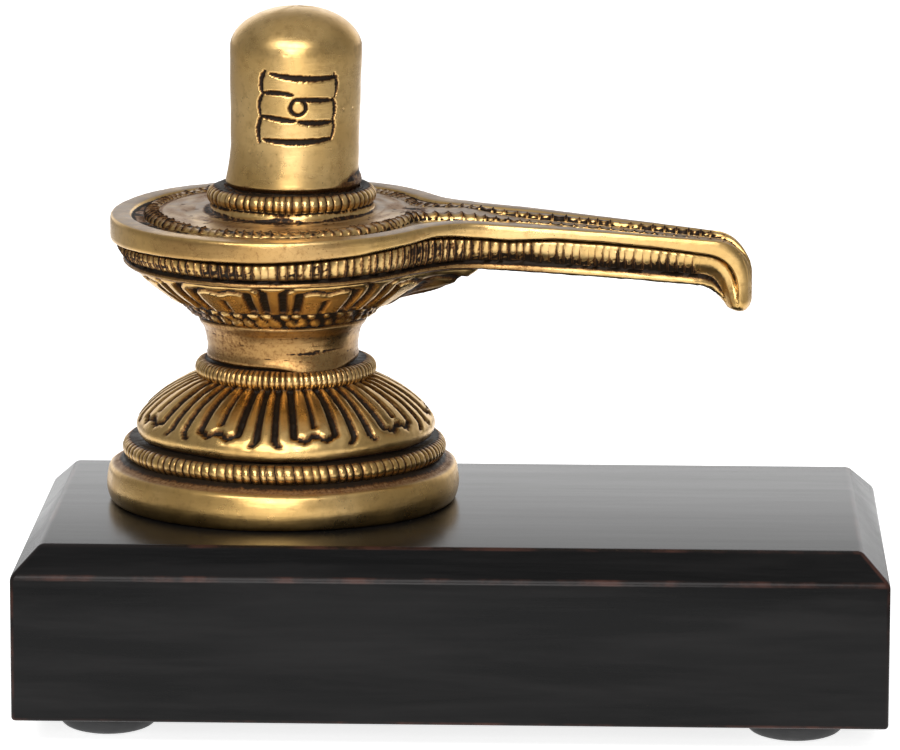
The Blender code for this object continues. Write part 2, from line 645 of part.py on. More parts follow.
def build_casting():
    """Build the whole brass casting as one closed surface."""
    skin = Skin()
    axis = np.array([PEDESTAL_X, PEDESTAL_Y])

    angles = even_angles(ROUND_COLUMNS)
    base = [skin.add(circle(angles, radius, height, 0.0)) for radius, height in base_rows()]
    middle = skin.add([(PEDESTAL_X, PEDESTAL_Y, BRASS_Z + SEAT_GAP)])[0]
    skin.fan(base[0], middle)
    for lower, upper in zip(base, base[1:]):
        skin.bridge(lower, upper)

    foot = add_petal_rings(skin, foot_rows(), FOOT_PETALS, FOOT_PETAL_TURN, FOOT_CUT_DIRECTION)
    skin.zip_loops(base[-1], foot[0], axis)

    angles = even_angles(NECK_COLUMNS)
    waist = [skin.add(circle(angles, radius, height, 0.0)) for radius, height in waist_rows()]
    skin.zip_loops(foot[-1], waist[0], axis)
    for lower, upper in zip(waist, waist[1:]):
        skin.bridge(lower, upper)

    rim, rope = yoni_columns()
    stations = rim[:, 0]
    sections = beak_round(yoni_section(rim, rope), stations)
    rows = []
    for plan, depth in sections:
        far = place_yoni(plan, depth, stations)
        mirrored = plan * np.array([1.0, -1.0])
        near = place_yoni(mirrored, depth, stations)
        rows.append(skin.add(np.concatenate([near, far[::-1][1:]])))
    for inner, outer in zip(rows, rows[1:]):
        skin.bridge(inner, outer, closed=False)
    for inner, outer in zip(rows, rows[1:]):
        skin.faces.append((inner[0], outer[0], outer[-1], inner[-1]))

    def close_along_spout(row, plan, until):
        """Join the near and far side of a row along the spout, and return what is left as a loop."""
        stop = int(np.argmax(plan[:, 0] < until))
        count = len(row)
        for i in range(stop):
            skin.faces.append((row[i], row[i + 1], row[count - 2 - i], row[count - 1 - i]))
        return row[stop:count - stop]

    floor_loop = close_along_spout(rows[0], sections[0][0], ROPE_RADIUS + ROPE_FILLET)
    under_loop = close_along_spout(rows[-1], sections[-1][0], BOWL_LOBE_REACH)

    edge = np.array([skin.points[i][:2] for i in under_loop]) / MM - axis
    edge_angles = np.mod(np.arctan2(edge[:, 1], edge[:, 0]), 2 * math.pi)

    def bowl_swell(places):
        """How far the bowl's top stands out beyond its round part, to meet the yoni's underside."""
        reach = np.interp(places, edge_angles, np.hypot(edge[:, 0], edge[:, 1]), period=2 * math.pi)
        return reach - BOWL_SEAT - BOWL_TOP_RADIUS

    bowl = add_petal_rings(skin, bowl_rows(), BOWL_PETALS, BOWL_PETAL_TURN, BOWL_CUT_DIRECTION,
                           bowl_swell)
    skin.zip_loops(waist[-1], bowl[0], axis)
    skin.zip_loops(under_loop, bowl[-1], axis)

    angles = even_angles(LINGA_COLUMNS)
    linga = [skin.add(circle(angles, radius, height, shift)) for radius, height, shift in linga_rows()]
    skin.zip_loops(floor_loop, linga[0], axis)
    for lower, upper in zip(linga, linga[1:]):
        skin.bridge(lower, upper)
    top = (PEDESTAL_X + LINGA_TOP_SHIFT, PEDESTAL_Y, BRASS_Z + LINGA_TOP_Z)
    skin.fan(linga[-1], skin.add([top])[0])
    return skin.to_mesh("brass_shiva_lingam")


def build_plinth():
    """Build the wooden block, chamfered round its top."""
    mesh = bpy.data.meshes.new("wooden_plinth")
    work = bmesh.new()
    bmesh.ops.create_cube(work, size=1.0)
    bottom = FOOT_HEIGHT + SEAT_GAP
    for corner in work.verts:
        corner.co.x *= PLINTH_LENGTH * MM
        corner.co.y *= PLINTH_DEPTH * MM
        corner.co.z = (corner.co.z + 0.5) * PLINTH_HEIGHT * MM + bottom * MM
    top = (bottom + PLINTH_HEIGHT) * MM
    rim = [edge for edge in work.edges if all(abs(v.co.z - top) < 1e-7 for v in edge.verts)]
    bmesh.ops.bevel(work, geom=rim, offset=PLINTH_CHAMFER * MM, segments=1, affect="EDGES")
    work.to_mesh(mesh)
    work.free()
    return mesh


def build_foot():
    """Build one round rubber foot, wide under the wood and narrower where it touches the ground."""
    skin = Skin()
    angles = even_angles(FOOT_COLUMNS)
    side = FOOT_RADIUS - FOOT_CONTACT_RADIUS
    rows = [(FOOT_CONTACT_RADIUS, 0.0)]
    low = FOOT_HEIGHT - FOOT_RIM_HEIGHT
    for turn in np.radians((30, 60, 90)):
        rows.append((FOOT_CONTACT_RADIUS + side * math.sin(turn), low * (1 - math.cos(turn))))
    rows.append((FOOT_RADIUS, FOOT_HEIGHT))
    rings = []
    for radius, height in rows:
        ring = np.stack([radius * np.cos(angles), radius * np.sin(angles), height + 0.0 * angles], -1)
        rings.append(skin.add(ring))
    for lower, upper in zip(rings, rings[1:]):
        skin.bridge(lower, upper)
    skin.faces.append(tuple(rings[0]))
    skin.faces.append(tuple(rings[-1]))
    return skin.to_mesh("rubber_foot")


def main():
    """Build every sub-part and put it in its place."""
    clear_scene()
    brass = make_material("antique_brass", (0.55, 0.38, 0.13), 0.35, 1.0)
    wood = make_material("black_stained_wood", (0.018, 0.017, 0.017), 0.45, 0.0)
    rubber = make_material("black_rubber", (0.012, 0.012, 0.012), 0.7, 0.0)

    add_object("brass_shiva_lingam", build_casting(), brass)

    plinth = add_object("wooden_plinth", build_plinth(), wood)
    soften = plinth.modifiers.new("soft_edges", "BEVEL")
    soften.width = PLINTH_EDGE_ROUND * MM
    soften.segments = 2
    soften.limit_method = "ANGLE"
    soften.angle_limit = math.radians(30)

    foot_mesh = build_foot()
    foot_mesh.materials.append(rubber)
    reach_x = PLINTH_LENGTH / 2 - FOOT_END_INSET
    reach_y = PLINTH_DEPTH / 2 - FOOT_SIDE_INSET
    for row, y in (("front", -reach_y), ("back", reach_y)):
        for side, x in (("left", -reach_x), ("right", reach_x)):
            foot = bpy.data.objects.new(f"rubber_foot_{row}_{side}", foot_mesh)
            foot.location = (x * MM, y * MM, 0.0)
            bpy.context.scene.collection.objects.link(foot)


main()
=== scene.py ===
"""Looks of a small cast brass shiva lingam on a black wooden plinth with rubber feet."""

import math

import bmesh
import bpy
import numpy as np
from mathutils import Matrix, Vector


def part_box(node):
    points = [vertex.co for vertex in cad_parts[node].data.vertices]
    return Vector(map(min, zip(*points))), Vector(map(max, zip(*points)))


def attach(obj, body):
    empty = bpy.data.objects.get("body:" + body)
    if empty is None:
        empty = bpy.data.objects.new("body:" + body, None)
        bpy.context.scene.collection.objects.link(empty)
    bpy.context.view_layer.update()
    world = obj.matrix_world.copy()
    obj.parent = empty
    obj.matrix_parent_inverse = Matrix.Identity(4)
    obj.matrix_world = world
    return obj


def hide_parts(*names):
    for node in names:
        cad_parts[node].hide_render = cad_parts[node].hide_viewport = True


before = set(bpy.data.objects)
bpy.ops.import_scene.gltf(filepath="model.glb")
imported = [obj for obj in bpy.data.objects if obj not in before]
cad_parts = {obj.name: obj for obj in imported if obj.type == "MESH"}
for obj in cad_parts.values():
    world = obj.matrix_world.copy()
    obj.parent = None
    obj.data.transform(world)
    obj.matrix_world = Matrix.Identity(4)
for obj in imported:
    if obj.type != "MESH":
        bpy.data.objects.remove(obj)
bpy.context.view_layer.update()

# Sizes are in millimetres, heights from the plinth's top, and angles in degrees from the front
MM = 0.001
plinth_low, plinth_high = [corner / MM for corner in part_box("wooden_plinth")]
PEDESTAL_END_INSET = 34.0
PEDESTAL_BACK_SHIFT = 4.2
AXIS_X = plinth_low.x + PEDESTAL_END_INSET
AXIS_Y = (plinth_low.y + plinth_high.y) / 2 + PEDESTAL_BACK_SHIFT
BRASS_Z = plinth_high.z

# The casting's front, as a turn from +X, and the lowest point of its base
FRONT = math.radians(-86.65)
BASE_Z = 0.06

# Round base and lower ring
BASE_RADIUS = 23.87
BASE_SHIFT = -0.17
BASE_TOP_Z = 4.85
LOWER_RING_RADIUS = 21.95
LOWER_RING_TUBE = 1.35
LOWER_RING_Z = 7.15
LOWER_REEDS = 118

# Petalled foot
FOOT_LIP_Z = 9.6
FOOT_LIP_RADIUS = 20.1
FOOT_PETAL_Z = 10.4
FOOT_TOP_Z = 17.0
FOOT_TOP_RADIUS = 12.9
FOOT_PETALS = 9
FOOT_TURN = 12.0
FOOT_LEAF_SIDE = 0.44

# Waist ring, neck and beaded frieze
WAIST_RADIUS = 12.25
WAIST_TUBE = 1.3
WAIST_Z = 17.95
WAIST_REEDS = 95
NECK_Z = 20.15
NECK_RADIUS = 10.0
NECK_TOP_RADIUS = 11.2
# Painted shade on the neck under the bowl's overhang, stored in the dark tone
NECK_PAINTED_SHADE = 0.17
FRIEZE_Z = 24.95
FRIEZE_BEADS = 44

# Petalled bowl
BOWL_Z = 27.65
BOWL_RADIUS = 15.0
BOWL_TOP_Z = 32.85
BOWL_TOP_RADIUS = 20.9
BOWL_PETALS = 8
BOWL_TURN = 18.0
BOWL_LEAF_SIDE = 0.53
BOWL_LOBE_REACH = 27.0

# Yoni and spout
YONI_TOP = 39.4
YONI_RADIUS = 23.4
YONI_THICKNESS = 6.6
YONI_FILLET = 13.5
RISE_ALONG = 0.008
RISE_BACK = 0.024
ROPE_RADIUS = 17.8
ROPE_HALF_WIDTH = 1.0
ROPE_RAISE = 0.3
BEAD_HALF_WIDTH = 0.32
ROPE_FILLET = 2.5
CHANNEL_HALF_SPACING = 2.75
CHANNEL_TAPER = 0.012
CHANNEL_SINK = 0.75
FLOOR_RAISE = 0.15
ROPE_PITCH = 1.28
BEAD_PITCH = 1.56
ROPE_SLANT = 0.5
REED_PITCH = 1.2
SPOUT_REED_PITCH = 1.09
REED_INSET = 1.3
SPOUT_TURN = math.radians(-3.3)
SPOUT_HALF_WIDTH = 7.0
SPOUT_WIDTH_STATION = 31.5
SPOUT_TAPER = 0.111
DROOP_START = 24.0
DROOP_SLOPE = 0.068
DROOP_CURVE = 0.00055
BEAK_UNDER_START = 55.7
BEAK_TOP_START = 58.3
BEAK_BEND_RADIUS = 5.4
BEAK_DROP = 4.7
BEAK_END_DEPTH = 2.9
BEAK_END_HALF_WIDTH = 3.3

# Ring round the linga's foot, and the linga
LINGA_RING_RADIUS = 11.4
LINGA_RING_TUBE = 1.25
LINGA_RING_Z = 41.6
LINGA_REEDS = 64
LINGA_RING_SHIFT = 1.1
LINGA_RADIUS = 8.75
LINGA_FOOT_Z = 43.45
LINGA_TOP_Z = 67.05
LINGA_DOME_HEIGHT = 5.6
LINGA_TOP_RADIUS = 8.9
LINGA_TOP_SHIFT = 1.7


def smoothstep(value):
    """Ease a value from 0 to 1, flat at both ends."""
    clipped = np.clip(value, 0.0, 1.0)
    return clipped * clipped * (3.0 - 2.0 * clipped)


def ramp(value, start, end):
    """Ease from 0 at the start to 1 at the end. The end may lie below the start."""
    return smoothstep((value - start) / (end - start))


def waves(angles, seed, lowest, highest):
    """A soft uneven curve round a circle, about -1 to 1, for what a hand leaves out of true."""
    rng = np.random.default_rng(seed)
    total = np.zeros_like(angles, dtype=float)
    for order in range(lowest, highest + 1):
        total += rng.uniform(0.4, 1.0) * np.sin(order * angles + rng.uniform(0, 2 * math.pi))
    return total / math.sqrt(highest - lowest + 1)


def rough(shape, seed, amount):
    """Grains of uneven height, for pits and hammered or cast ground."""
    return np.random.default_rng(seed).normal(0.0, amount, shape)


def round_off(rows):
    """Cut the corners of a run of rows of points, keeping both ends."""
    first = 0.75 * rows[:-1] + 0.25 * rows[1:]
    second = 0.25 * rows[:-1] + 0.75 * rows[1:]
    middle = np.stack([first, second], axis=1).reshape(-1, *rows.shape[1:])
    return np.concatenate([rows[:1], middle[1:-1], rows[-1:]])


def resample(points, count):
    """The same run of points, evenly spaced by length."""
    steps = np.linalg.norm(np.diff(points, axis=0), axis=1)
    places = np.concatenate([[0.0], np.cumsum(steps)])
    wanted = np.linspace(0.0, places[-1], count)
    return np.stack([np.interp(wanted, places, points[:, i]) for i in range(points.shape[1])], axis=1)


CURVE_STEPS = 10


def profile(points, count):
    """A smooth turned profile that passes through the points given as (radius, height)."""
    points = np.array(points, dtype=float)
    padded = np.concatenate([[2 * points[0] - points[1]], points, [2 * points[-1] - points[-2]]])
    gaps = np.sqrt(np.linalg.norm(np.diff(padded, axis=0), axis=1))
    share = np.linspace(0.0, 1.0, CURVE_STEPS, endpoint=False)[:, None]
    pieces = []
    for i in range(len(points) - 1):
        before, start, end, after = padded[i:i + 4]
        first, middle, last = gaps[i:i + 3]
        leave = (end - start) + middle * ((start - before) / first - (end - before) / (first + middle))
        arrive = (end - start) + middle * ((after - end) / last - (after - start) / (middle + last))
        cube, square = share ** 3, share ** 2
        pieces.append((2 * cube - 3 * square + 1) * start + (cube - 2 * square + share) * leave
                      + (3 * square - 2 * cube) * end + (cube - square) * arrive)
    return resample(np.concatenate(pieces + [points[-1:]]), count)


def add_object(name, data):
    """Make an object and put it in the scene."""
    made = bpy.data.objects.new(name, data)
    bpy.context.scene.collection.objects.link(made)
    return made


class Skin:
    """One closed surface, gathered row by row, with a tone of patina and painted shade at each point."""

    def __init__(self):
        self.points = []
        self.dark = []
        self.dull = []
        self.faces = []
        self.count = 0

    def add(self, points, dark=0.0, dull=0.0):
        """Add a row of points and return their numbers."""
        size = len(points)
        self.points.append(np.asarray(points, dtype=float))
        self.dark.append(np.broadcast_to(dark, (size,)))
        self.dull.append(np.broadcast_to(dull, (size,)))
        self.count += size
        return np.arange(self.count - size, self.count)

    def face(self, *corners):
        """Add one face."""
        self.faces.append(tuple(int(corner) for corner in corners))

    def bridge(self, first, second, closed=True):
        """Join two rows of equal length with quads."""
        quads = np.stack([first, np.roll(first, -1), np.roll(second, -1), second], axis=1)
        self.faces.extend((quads if closed else quads[:-1]).tolist())

    def stack(self, grid, dark=0.0, dull=0.0, closed=True):
        """Add a grid of points, row by row, and return its rows of numbers."""
        dark = np.broadcast_to(dark, grid.shape[:2])
        dull = np.broadcast_to(dull, grid.shape[:2])
        rows = [self.add(grid[i], dark[i], dull[i]) for i in range(len(grid))]
        for first, second in zip(rows, rows[1:]):
            self.bridge(first, second, closed)
        return rows

    def zip_rows(self, first, first_keys, second, second_keys, closed=True):
        """Join two rows of different lengths with triangles, in step with their keys from 0 to 1."""
        runs = []
        for row, keys in ((first, first_keys), (second, second_keys)):
            keys = np.asarray(keys, dtype=float)
            if closed:
                keys = np.mod(keys, 1.0)
                start = int(np.argmin(keys))
                row, keys = np.roll(row, -start), np.roll(keys, -start)
                row, keys = np.append(row, row[0]), np.append(keys, keys[0] + 1.0)
            runs.append((row.tolist(), keys))
        (row_a, key_a), (row_b, key_b) = runs
        i = j = 0
        while i < len(row_a) - 1 or j < len(row_b) - 1:
            last_b = j == len(row_b) - 1
            if last_b or (i < len(row_a) - 1 and key_a[i + 1] <= key_b[j + 1]):
                self.faces.append((row_a[i], row_a[i + 1], row_b[j]))
                i += 1
            else:
                self.faces.append((row_a[i], row_b[j + 1], row_b[j]))
                j += 1

    def angle_keys(self, row):
        """Share of a turn at each point of a row, about the casting's axis."""
        points = np.concatenate(self.points)[row]
        return np.arctan2(points[:, 1] - AXIS_Y, points[:, 0] - AXIS_X) / (2 * math.pi)

    def zip_round(self, first, second):
        """Join two loops of different lengths, by angle about the casting's axis."""
        loops = []
        for row in (first, second):
            keys = np.unwrap(self.angle_keys(row) * 2 * math.pi) / (2 * math.pi)
            if keys[-1] < keys[0]:
                row, keys = row[::-1], keys[::-1]
            loops += [row, keys]
        self.zip_rows(*loops)

    def fan(self, ring, centre):
        """Close a ring to one middle point."""
        for corner, following in zip(ring, np.roll(ring, -1)):
            self.face(corner, following, centre)

    def to_object(self, name):
        """Make the object, with its patina and painted shade tones as point attributes."""
        points = np.concatenate(self.points) * MM
        mesh = bpy.data.meshes.new(name)
        mesh.from_pydata(points.tolist(), [], [tuple(face) for face in self.faces])
        work = bmesh.new()
        work.from_mesh(mesh)
        bmesh.ops.recalc_face_normals(work, faces=work.faces)
        work.to_mesh(mesh)
        work.free()
        mesh.shade_smooth()
        add_tone(mesh, "dark", np.concatenate(self.dark))
        add_tone(mesh, "dull", np.concatenate(self.dull))
        add_tone(mesh, "hollow", hollows(mesh, points))
        return add_object(name, mesh)


def add_tone(mesh, name, values):
    """Store one number for each point, for the material to read."""
    layer = mesh.attributes.new(name, "FLOAT", "POINT")
    layer.data.foreach_set("value", np.asarray(values, dtype=np.float32))


HOLLOW_STEPS = (3, 14)
HOLLOW_REACH = (0.05, 0.16)


def hollows(mesh, points):
    """How far each point lies below (positive) or above (negative) its smoothed surroundings."""
    count = len(points)
    edges = np.empty(len(mesh.edges) * 2, dtype=np.int64)
    mesh.edges.foreach_get("vertices", edges)
    start, end = edges.reshape(-1, 2).T
    normals = np.empty(count * 3)
    mesh.vertices.foreach_get("normal", normals)
    normals = normals.reshape(-1, 3)
    degree = np.bincount(start, minlength=count) + np.bincount(end, minlength=count)
    smooth = points.copy()
    total = np.zeros(count)
    for step in range(1, max(HOLLOW_STEPS) + 1):
        mean = np.empty_like(smooth)
        for axis in range(3):
            gathered = np.bincount(start, smooth[end, axis], count)
            gathered += np.bincount(end, smooth[start, axis], count)
            mean[:, axis] = gathered / np.maximum(degree, 1)
        smooth = 0.5 * (smooth + mean)
        if step in HOLLOW_STEPS:
            reach = HOLLOW_REACH[HOLLOW_STEPS.index(step)] * MM
            total += np.clip(((smooth - points) * normals).sum(axis=1) / reach, -1.0, 1.0)
    return total / len(HOLLOW_STEPS)


def turned(rows, angles, cut=0.0, shift=0.0, lift=0.0):
    """Points of a turned band: rows of (radius, height), cut inwards along the profile's normal."""
    rows = np.asarray(rows)
    along = np.gradient(rows, axis=0)
    along /= np.linalg.norm(along, axis=1)[:, None]
    radius = rows[:, :1] - along[:, 1:] * cut
    height = rows[:, 1:] + along[:, :1] * cut + lift
    shift = np.broadcast_to(np.asarray(shift, dtype=float).reshape(-1, 1), (len(rows), 1))
    x = AXIS_X + shift + radius * np.cos(angles)
    y = AXIS_Y + radius * np.sin(angles)
    return np.stack([x, y, BRASS_Z + height + 0.0 * angles], axis=-1)


def even_angles(count):
    """Evenly spaced angles from the front."""
    return FRONT + np.arange(count) * 2 * math.pi / count


# Across one reed: places of its points, and how deep the notch between reeds is there
REED_PLACES = np.array([0.0, 0.13, 0.5, 0.87])
REED_NOTCH = np.array([1.0, 0.2, 0.0, 0.2])


def reeds(count, seed, spread):
    """Hand-cut reeds: the share of the run at each column, the notch there, and its own strength."""
    rng = np.random.default_rng(seed)
    widths = 1.0 + spread * rng.uniform(-1.0, 1.0, count)
    edges = np.concatenate([[0.0], np.cumsum(widths)]) / widths.sum()
    strength = np.clip(rng.normal(0.95, 0.28, count + 1), 0.25, 1.5)
    strength[-1] = strength[0]
    shares = edges[:-1, None] + np.diff(edges)[:, None] * REED_PLACES
    near_next = REED_PLACES > 0.5
    depths = np.where(near_next, strength[1:, None], strength[:-1, None]) * REED_NOTCH
    return shares.ravel(), depths.ravel()


def tube(radius, height, size, first, last, count):
    """Rows of a rounded ring, from one angle to another, in degrees from straight out."""
    turns = np.radians(np.linspace(first, last, count))
    return np.stack([radius - size + size * np.cos(turns), height + size * np.sin(turns)], axis=1), turns


def reeded_ring(skin, ring, count, seed, depth, turns, rows, shift=0.0, dull=0.0, slant=0.0, recess=0.12):
    """Add a ring, as radius, height and tube's radius, with notches across it. Returns its rows."""
    radius = ring[0]
    places, turns = tube(*ring, *turns, rows)
    shares, notch = reeds(count, seed, 0.24)
    angles = FRONT + shares * 2 * math.pi
    reach = smoothstep((np.cos(turns) - np.where(turns > 0, recess, 0.12)) / 0.4)[:, None]
    cut = depth * notch * reach + 0.06 * waves(angles, seed, 3, 9) + rough((rows, len(angles)), seed, 0.012)
    dark = np.clip(notch * reach * 0.9 + 0.95 * (1.0 - reach), 0.0, 1.0)
    angles = angles + slant / radius * np.sin(turns)[:, None] * (0.6 + 0.4 * waves(angles, seed + 1, 1, 3))
    top = smoothstep(np.sin(turns) * 2.0 - 0.6)[:, None]
    return skin.stack(turned(places, angles, cut, shift), dark, dull * top)


# Places across a petal, from its middle (0) to the rib beside it (1), and along it from root to tip;
# a leaf's own side groove has its place among the band's sizes
OUTER_SIDE = 0.82
TIP_LOBE = 0.085


def groove(distance, half_width):
    """A cut with steep soft sides: 1 in its floor, 0 outside."""
    return ramp(np.abs(distance) / half_width, 1.24, 0.62)


def petal_cut(across, along, half_pitch, length, leaf_side, leaf_tip, slit_reach, sizes):
    """Share of the full cut on a petalled band. Sizes: half widths of leaf, tip, slit and outer grooves."""
    leaf, tip, slit, outer = sizes
    side = np.abs(across)
    tip_place = leaf_tip + TIP_LOBE * np.sin(np.clip(side / leaf_side, 0.0, 1.0) * math.pi) ** 2
    below_tip = smoothstep((tip_place - along) * length / tip + 1.0)
    leaf_cut = groove((side - leaf_side) * half_pitch, leaf) * below_tip
    inside = smoothstep((leaf_side - side) * half_pitch / tip + 1.0)
    tip_cut = groove((along - tip_place) * length, tip) * inside
    slit_end = smoothstep((slit_reach - along) * length / slit)
    slit_cut = groove(side * half_pitch, slit * (0.7 + 0.6 * along)) * slit_end
    hook = OUTER_SIDE - 0.16 * ramp(along, 0.78, 0.98)
    outer_end = smoothstep((0.95 - along) * length / outer)
    outer_cut = groove((side - hook) * half_pitch, outer) * outer_end
    return np.maximum.reduce([leaf_cut, 0.85 * tip_cut, 0.75 * slit_cut, 0.9 * outer_cut])


def leaf_crown(across, leaf_side):
    """How a leaf swells between its sides: 1 along its middle, 0 at its side grooves and past them."""
    return np.cos(np.clip(across / leaf_side, -1, 1) * math.pi / 2)


def petal_columns(petals, turn, count):
    """Angles round a petalled band, and the place across its petal at each."""
    place = (np.arange(petals * count) + 0.5) / count
    angles = FRONT + math.radians(turn) + (place - 0.5) * 2 * math.pi / petals
    return angles, 2.0 * np.mod(place, 1.0) - 1.0


def build_base(skin):
    """Round base with a plain polished side, and the reeded ring on it."""
    corners = [(BASE_RADIUS - 1.0, BASE_Z), (BASE_RADIUS - 0.6, BASE_Z + 0.1), (BASE_RADIUS - 0.25, 0.8),
               (BASE_RADIUS, 2.1), (BASE_RADIUS - 0.2, 4.0), (BASE_RADIUS - 0.42, BASE_TOP_Z - 0.1),
               (BASE_RADIUS - 0.9, BASE_TOP_Z + 0.15), (BASE_RADIUS - 1.6, BASE_TOP_Z + 0.45),
               (LOWER_RING_RADIUS - 0.6, BASE_TOP_Z + 1.15)]
    rows = profile(corners, 20)
    angles = even_angles(160)
    dent = 0.05 * waves(angles, 11, 2, 7) + rough((len(rows), len(angles)), 12, 0.008)
    lift = 0.10 * waves(angles, 13, 2, 6) * smoothstep(rows[:, 1:] / BASE_TOP_Z)
    ledge = smoothstep((rows[:, 1] - BASE_TOP_Z) / 0.25)[:, None]
    recess = ramp(rows[:, 1] - BASE_TOP_Z, 0.4, 0.9)[:, None]
    dent = dent + rough(dent.shape, 14, 0.05) * recess
    base = skin.stack(turned(rows, angles, dent, BASE_SHIFT, lift), 0.32 * ledge + 0.6 * recess, ledge)
    centre = skin.add([(AXIS_X, AXIS_Y, BRASS_Z + BASE_Z)])[0]
    skin.fan(base[0], centre)
    ring = reeded_ring(skin, (LOWER_RING_RADIUS, LOWER_RING_Z, LOWER_RING_TUBE), LOWER_REEDS, 21, 0.28,
                       (-80, 100), 12, dull=0.3, slant=-0.2)
    skin.zip_round(base[-1], ring[0])
    return ring


def build_foot(skin, below):
    """Petalled foot, from its lip up to the waist."""
    corners = [(FOOT_LIP_RADIUS - 1.5, FOOT_LIP_Z - 0.9), (FOOT_LIP_RADIUS - 0.55, FOOT_LIP_Z - 0.75),
               (FOOT_LIP_RADIUS - 0.1, FOOT_LIP_Z - 0.15), (FOOT_LIP_RADIUS + 0.05, FOOT_LIP_Z + 0.9),
               (FOOT_LIP_RADIUS - 0.75, 11.9), (16.8, 14.25), (FOOT_TOP_RADIUS + 0.3, FOOT_TOP_Z - 0.65),
               (FOOT_TOP_RADIUS - 1.2, FOOT_TOP_Z - 0.1)]
    rows = profile(corners, 36)
    angles, across = petal_columns(FOOT_PETALS, FOOT_TURN, 40)
    along = np.clip((FOOT_TOP_Z - rows[:, 1:]) / (FOOT_TOP_Z - FOOT_PETAL_Z), 0.0, 1.6)
    half_pitch = rows[:, :1] * math.pi / FOOT_PETALS
    share = petal_cut(across, along, half_pitch, 9.6, FOOT_LEAF_SIDE, 0.71, 0.62, (0.5, 0.45, 0.42, 0.45))
    worn = 0.82 + 0.18 * waves(angles, 31, 3, 8)
    cut = 0.78 * share * np.clip(worn, 0.45, 1.15)
    cut = cut - 0.10 * leaf_crown(across, FOOT_LEAF_SIDE) + 0.10 * waves(angles, 32, 2, 7)
    cut = cut + rough(cut.shape, 33, 1.0) * (0.012 + 0.07 * share)
    lift = (0.16 * waves(angles, 34, 2, 5) - 0.2 * np.cos(angles - FRONT)) * smoothstep(along - 0.1)
    under = smoothstep((FOOT_LIP_Z - 0.4 - rows[:, 1:]) / 0.3)
    top = ramp(along, 0.06, 0.0)
    dark = np.clip(np.maximum(share, 0.9 * under), 0.0, 1.0)
    foot = skin.stack(turned(rows, angles, cut, 0.15, lift), dark, 0.8 * top + 0.0 * across)
    skin.zip_round(below[-1], foot[0])
    return foot


def build_neck(skin, below):
    """Reeded ring at the waist, the plain neck with its run of metal and its painted shade, and the beaded
    frieze.
    """
    ring = reeded_ring(skin, (WAIST_RADIUS, WAIST_Z, WAIST_TUBE), WAIST_REEDS, 41, 0.32,
                       (-75, 100), 13, shift=0.2, dull=0.3, recess=-0.2)
    skin.zip_round(below[-1], ring[0])

    corners = [(NECK_RADIUS - 0.3, NECK_Z - 0.9), (NECK_RADIUS + 0.3, NECK_Z - 0.5),
               (NECK_RADIUS + 0.2, NECK_Z + 0.6), (NECK_RADIUS + 0.35, 22.2), (NECK_RADIUS + 0.7, 23.6),
               (NECK_TOP_RADIUS + 0.1, FRIEZE_Z - 0.35), (NECK_TOP_RADIUS + 0.25, FRIEZE_Z),
               (NECK_TOP_RADIUS - 0.1, FRIEZE_Z + 0.15)]
    rows = profile(corners, 22)
    angles = even_angles(144)
    turn = np.mod(np.degrees(angles - FRONT) + 180.0, 360.0) - 180.0
    run = np.exp(-((turn - 27.0) / 22.0) ** 2)
    low = smoothstep((NECK_Z + 1.6 - rows[:, 1:]) / 1.9)
    turning = 0.035 * np.sin(rows[:, 1:] * 9.0 + 2.0 * waves(angles, 42, 1, 3))
    cut = turning - run * low + 0.10 * waves(angles, 43, 2, 6) + rough(turning.shape, 44, 0.012)
    lift = -1.15 * run * low + 0.25 * waves(angles, 45, 1, 4) * ramp(rows[:, 1:], 23.5, 25.0)
    gap = np.maximum(ramp(rows[:, 1:] - NECK_Z, -0.45, -0.75), ramp(rows[:, 1:] - FRIEZE_Z, 0.0, 0.2))
    # Painted shade: the neck darkened all round, more on its left side, and a little along its turning marks
    left = 0.1 * np.exp(-((turn + 42.0) / 18.0) ** 2)
    tone = NECK_PAINTED_SHADE + 0.05 * np.abs(turning) / 0.035 + left
    neck = skin.stack(turned(rows, angles, cut, -0.15, lift), np.maximum(0.9 * gap, tone))
    skin.zip_round(ring[-1], neck[0])

    corners = [(NECK_TOP_RADIUS + 0.2, FRIEZE_Z + 0.25), (NECK_TOP_RADIUS + 1.2, FRIEZE_Z + 0.45),
               (13.2, 26.2), (BOWL_RADIUS - 0.7, BOWL_Z - 0.5), (BOWL_RADIUS - 0.6, BOWL_Z - 0.05)]
    rows = profile(corners, 14)
    angles = even_angles(FRIEZE_BEADS * 8)
    share = (angles - FRONT) / (2 * math.pi) * FRIEZE_BEADS
    height = (rows[:, 1:] - FRIEZE_Z) / (BOWL_Z - FRIEZE_Z)
    pitch = rows[:, :1] * 2 * math.pi / FRIEZE_BEADS
    beads = np.zeros((len(rows), len(angles)))
    for level, size, offset in ((0.30, 0.98, 0.0), (0.76, 0.80, 0.5)):
        bead = np.mod(np.floor(share + offset), FRIEZE_BEADS).astype(int)
        uneven = np.random.default_rng(46).uniform(-1.0, 1.0, (3, FRIEZE_BEADS))
        gone = (np.mod(share + offset, 1.0) - 0.5 - 0.16 * uneven[0, bead]) * pitch
        rise = (height - level - 0.09 * uneven[1, bead]) * 3.3 + 0.35 * gone
        size = size * (1.0 + 0.2 * uneven[2, bead])
        beads = np.maximum(beads, np.sqrt(np.clip(1.0 - (gone ** 2 + rise ** 2) / size ** 2, 0.0, 1.0)))
    wear = np.clip(0.72 + 0.3 * waves(angles, 47, 2, 5), 0.3, 1.0)
    cut = 0.42 * (1.0 - beads * wear) + rough(beads.shape, 48, 0.055)
    dark = np.clip(1.05 - 1.9 * beads * wear, 0.0, 1.0)
    frieze = skin.stack(turned(rows, angles, cut, -0.15), dark)
    skin.zip_round(neck[-1], frieze[0])
    return frieze


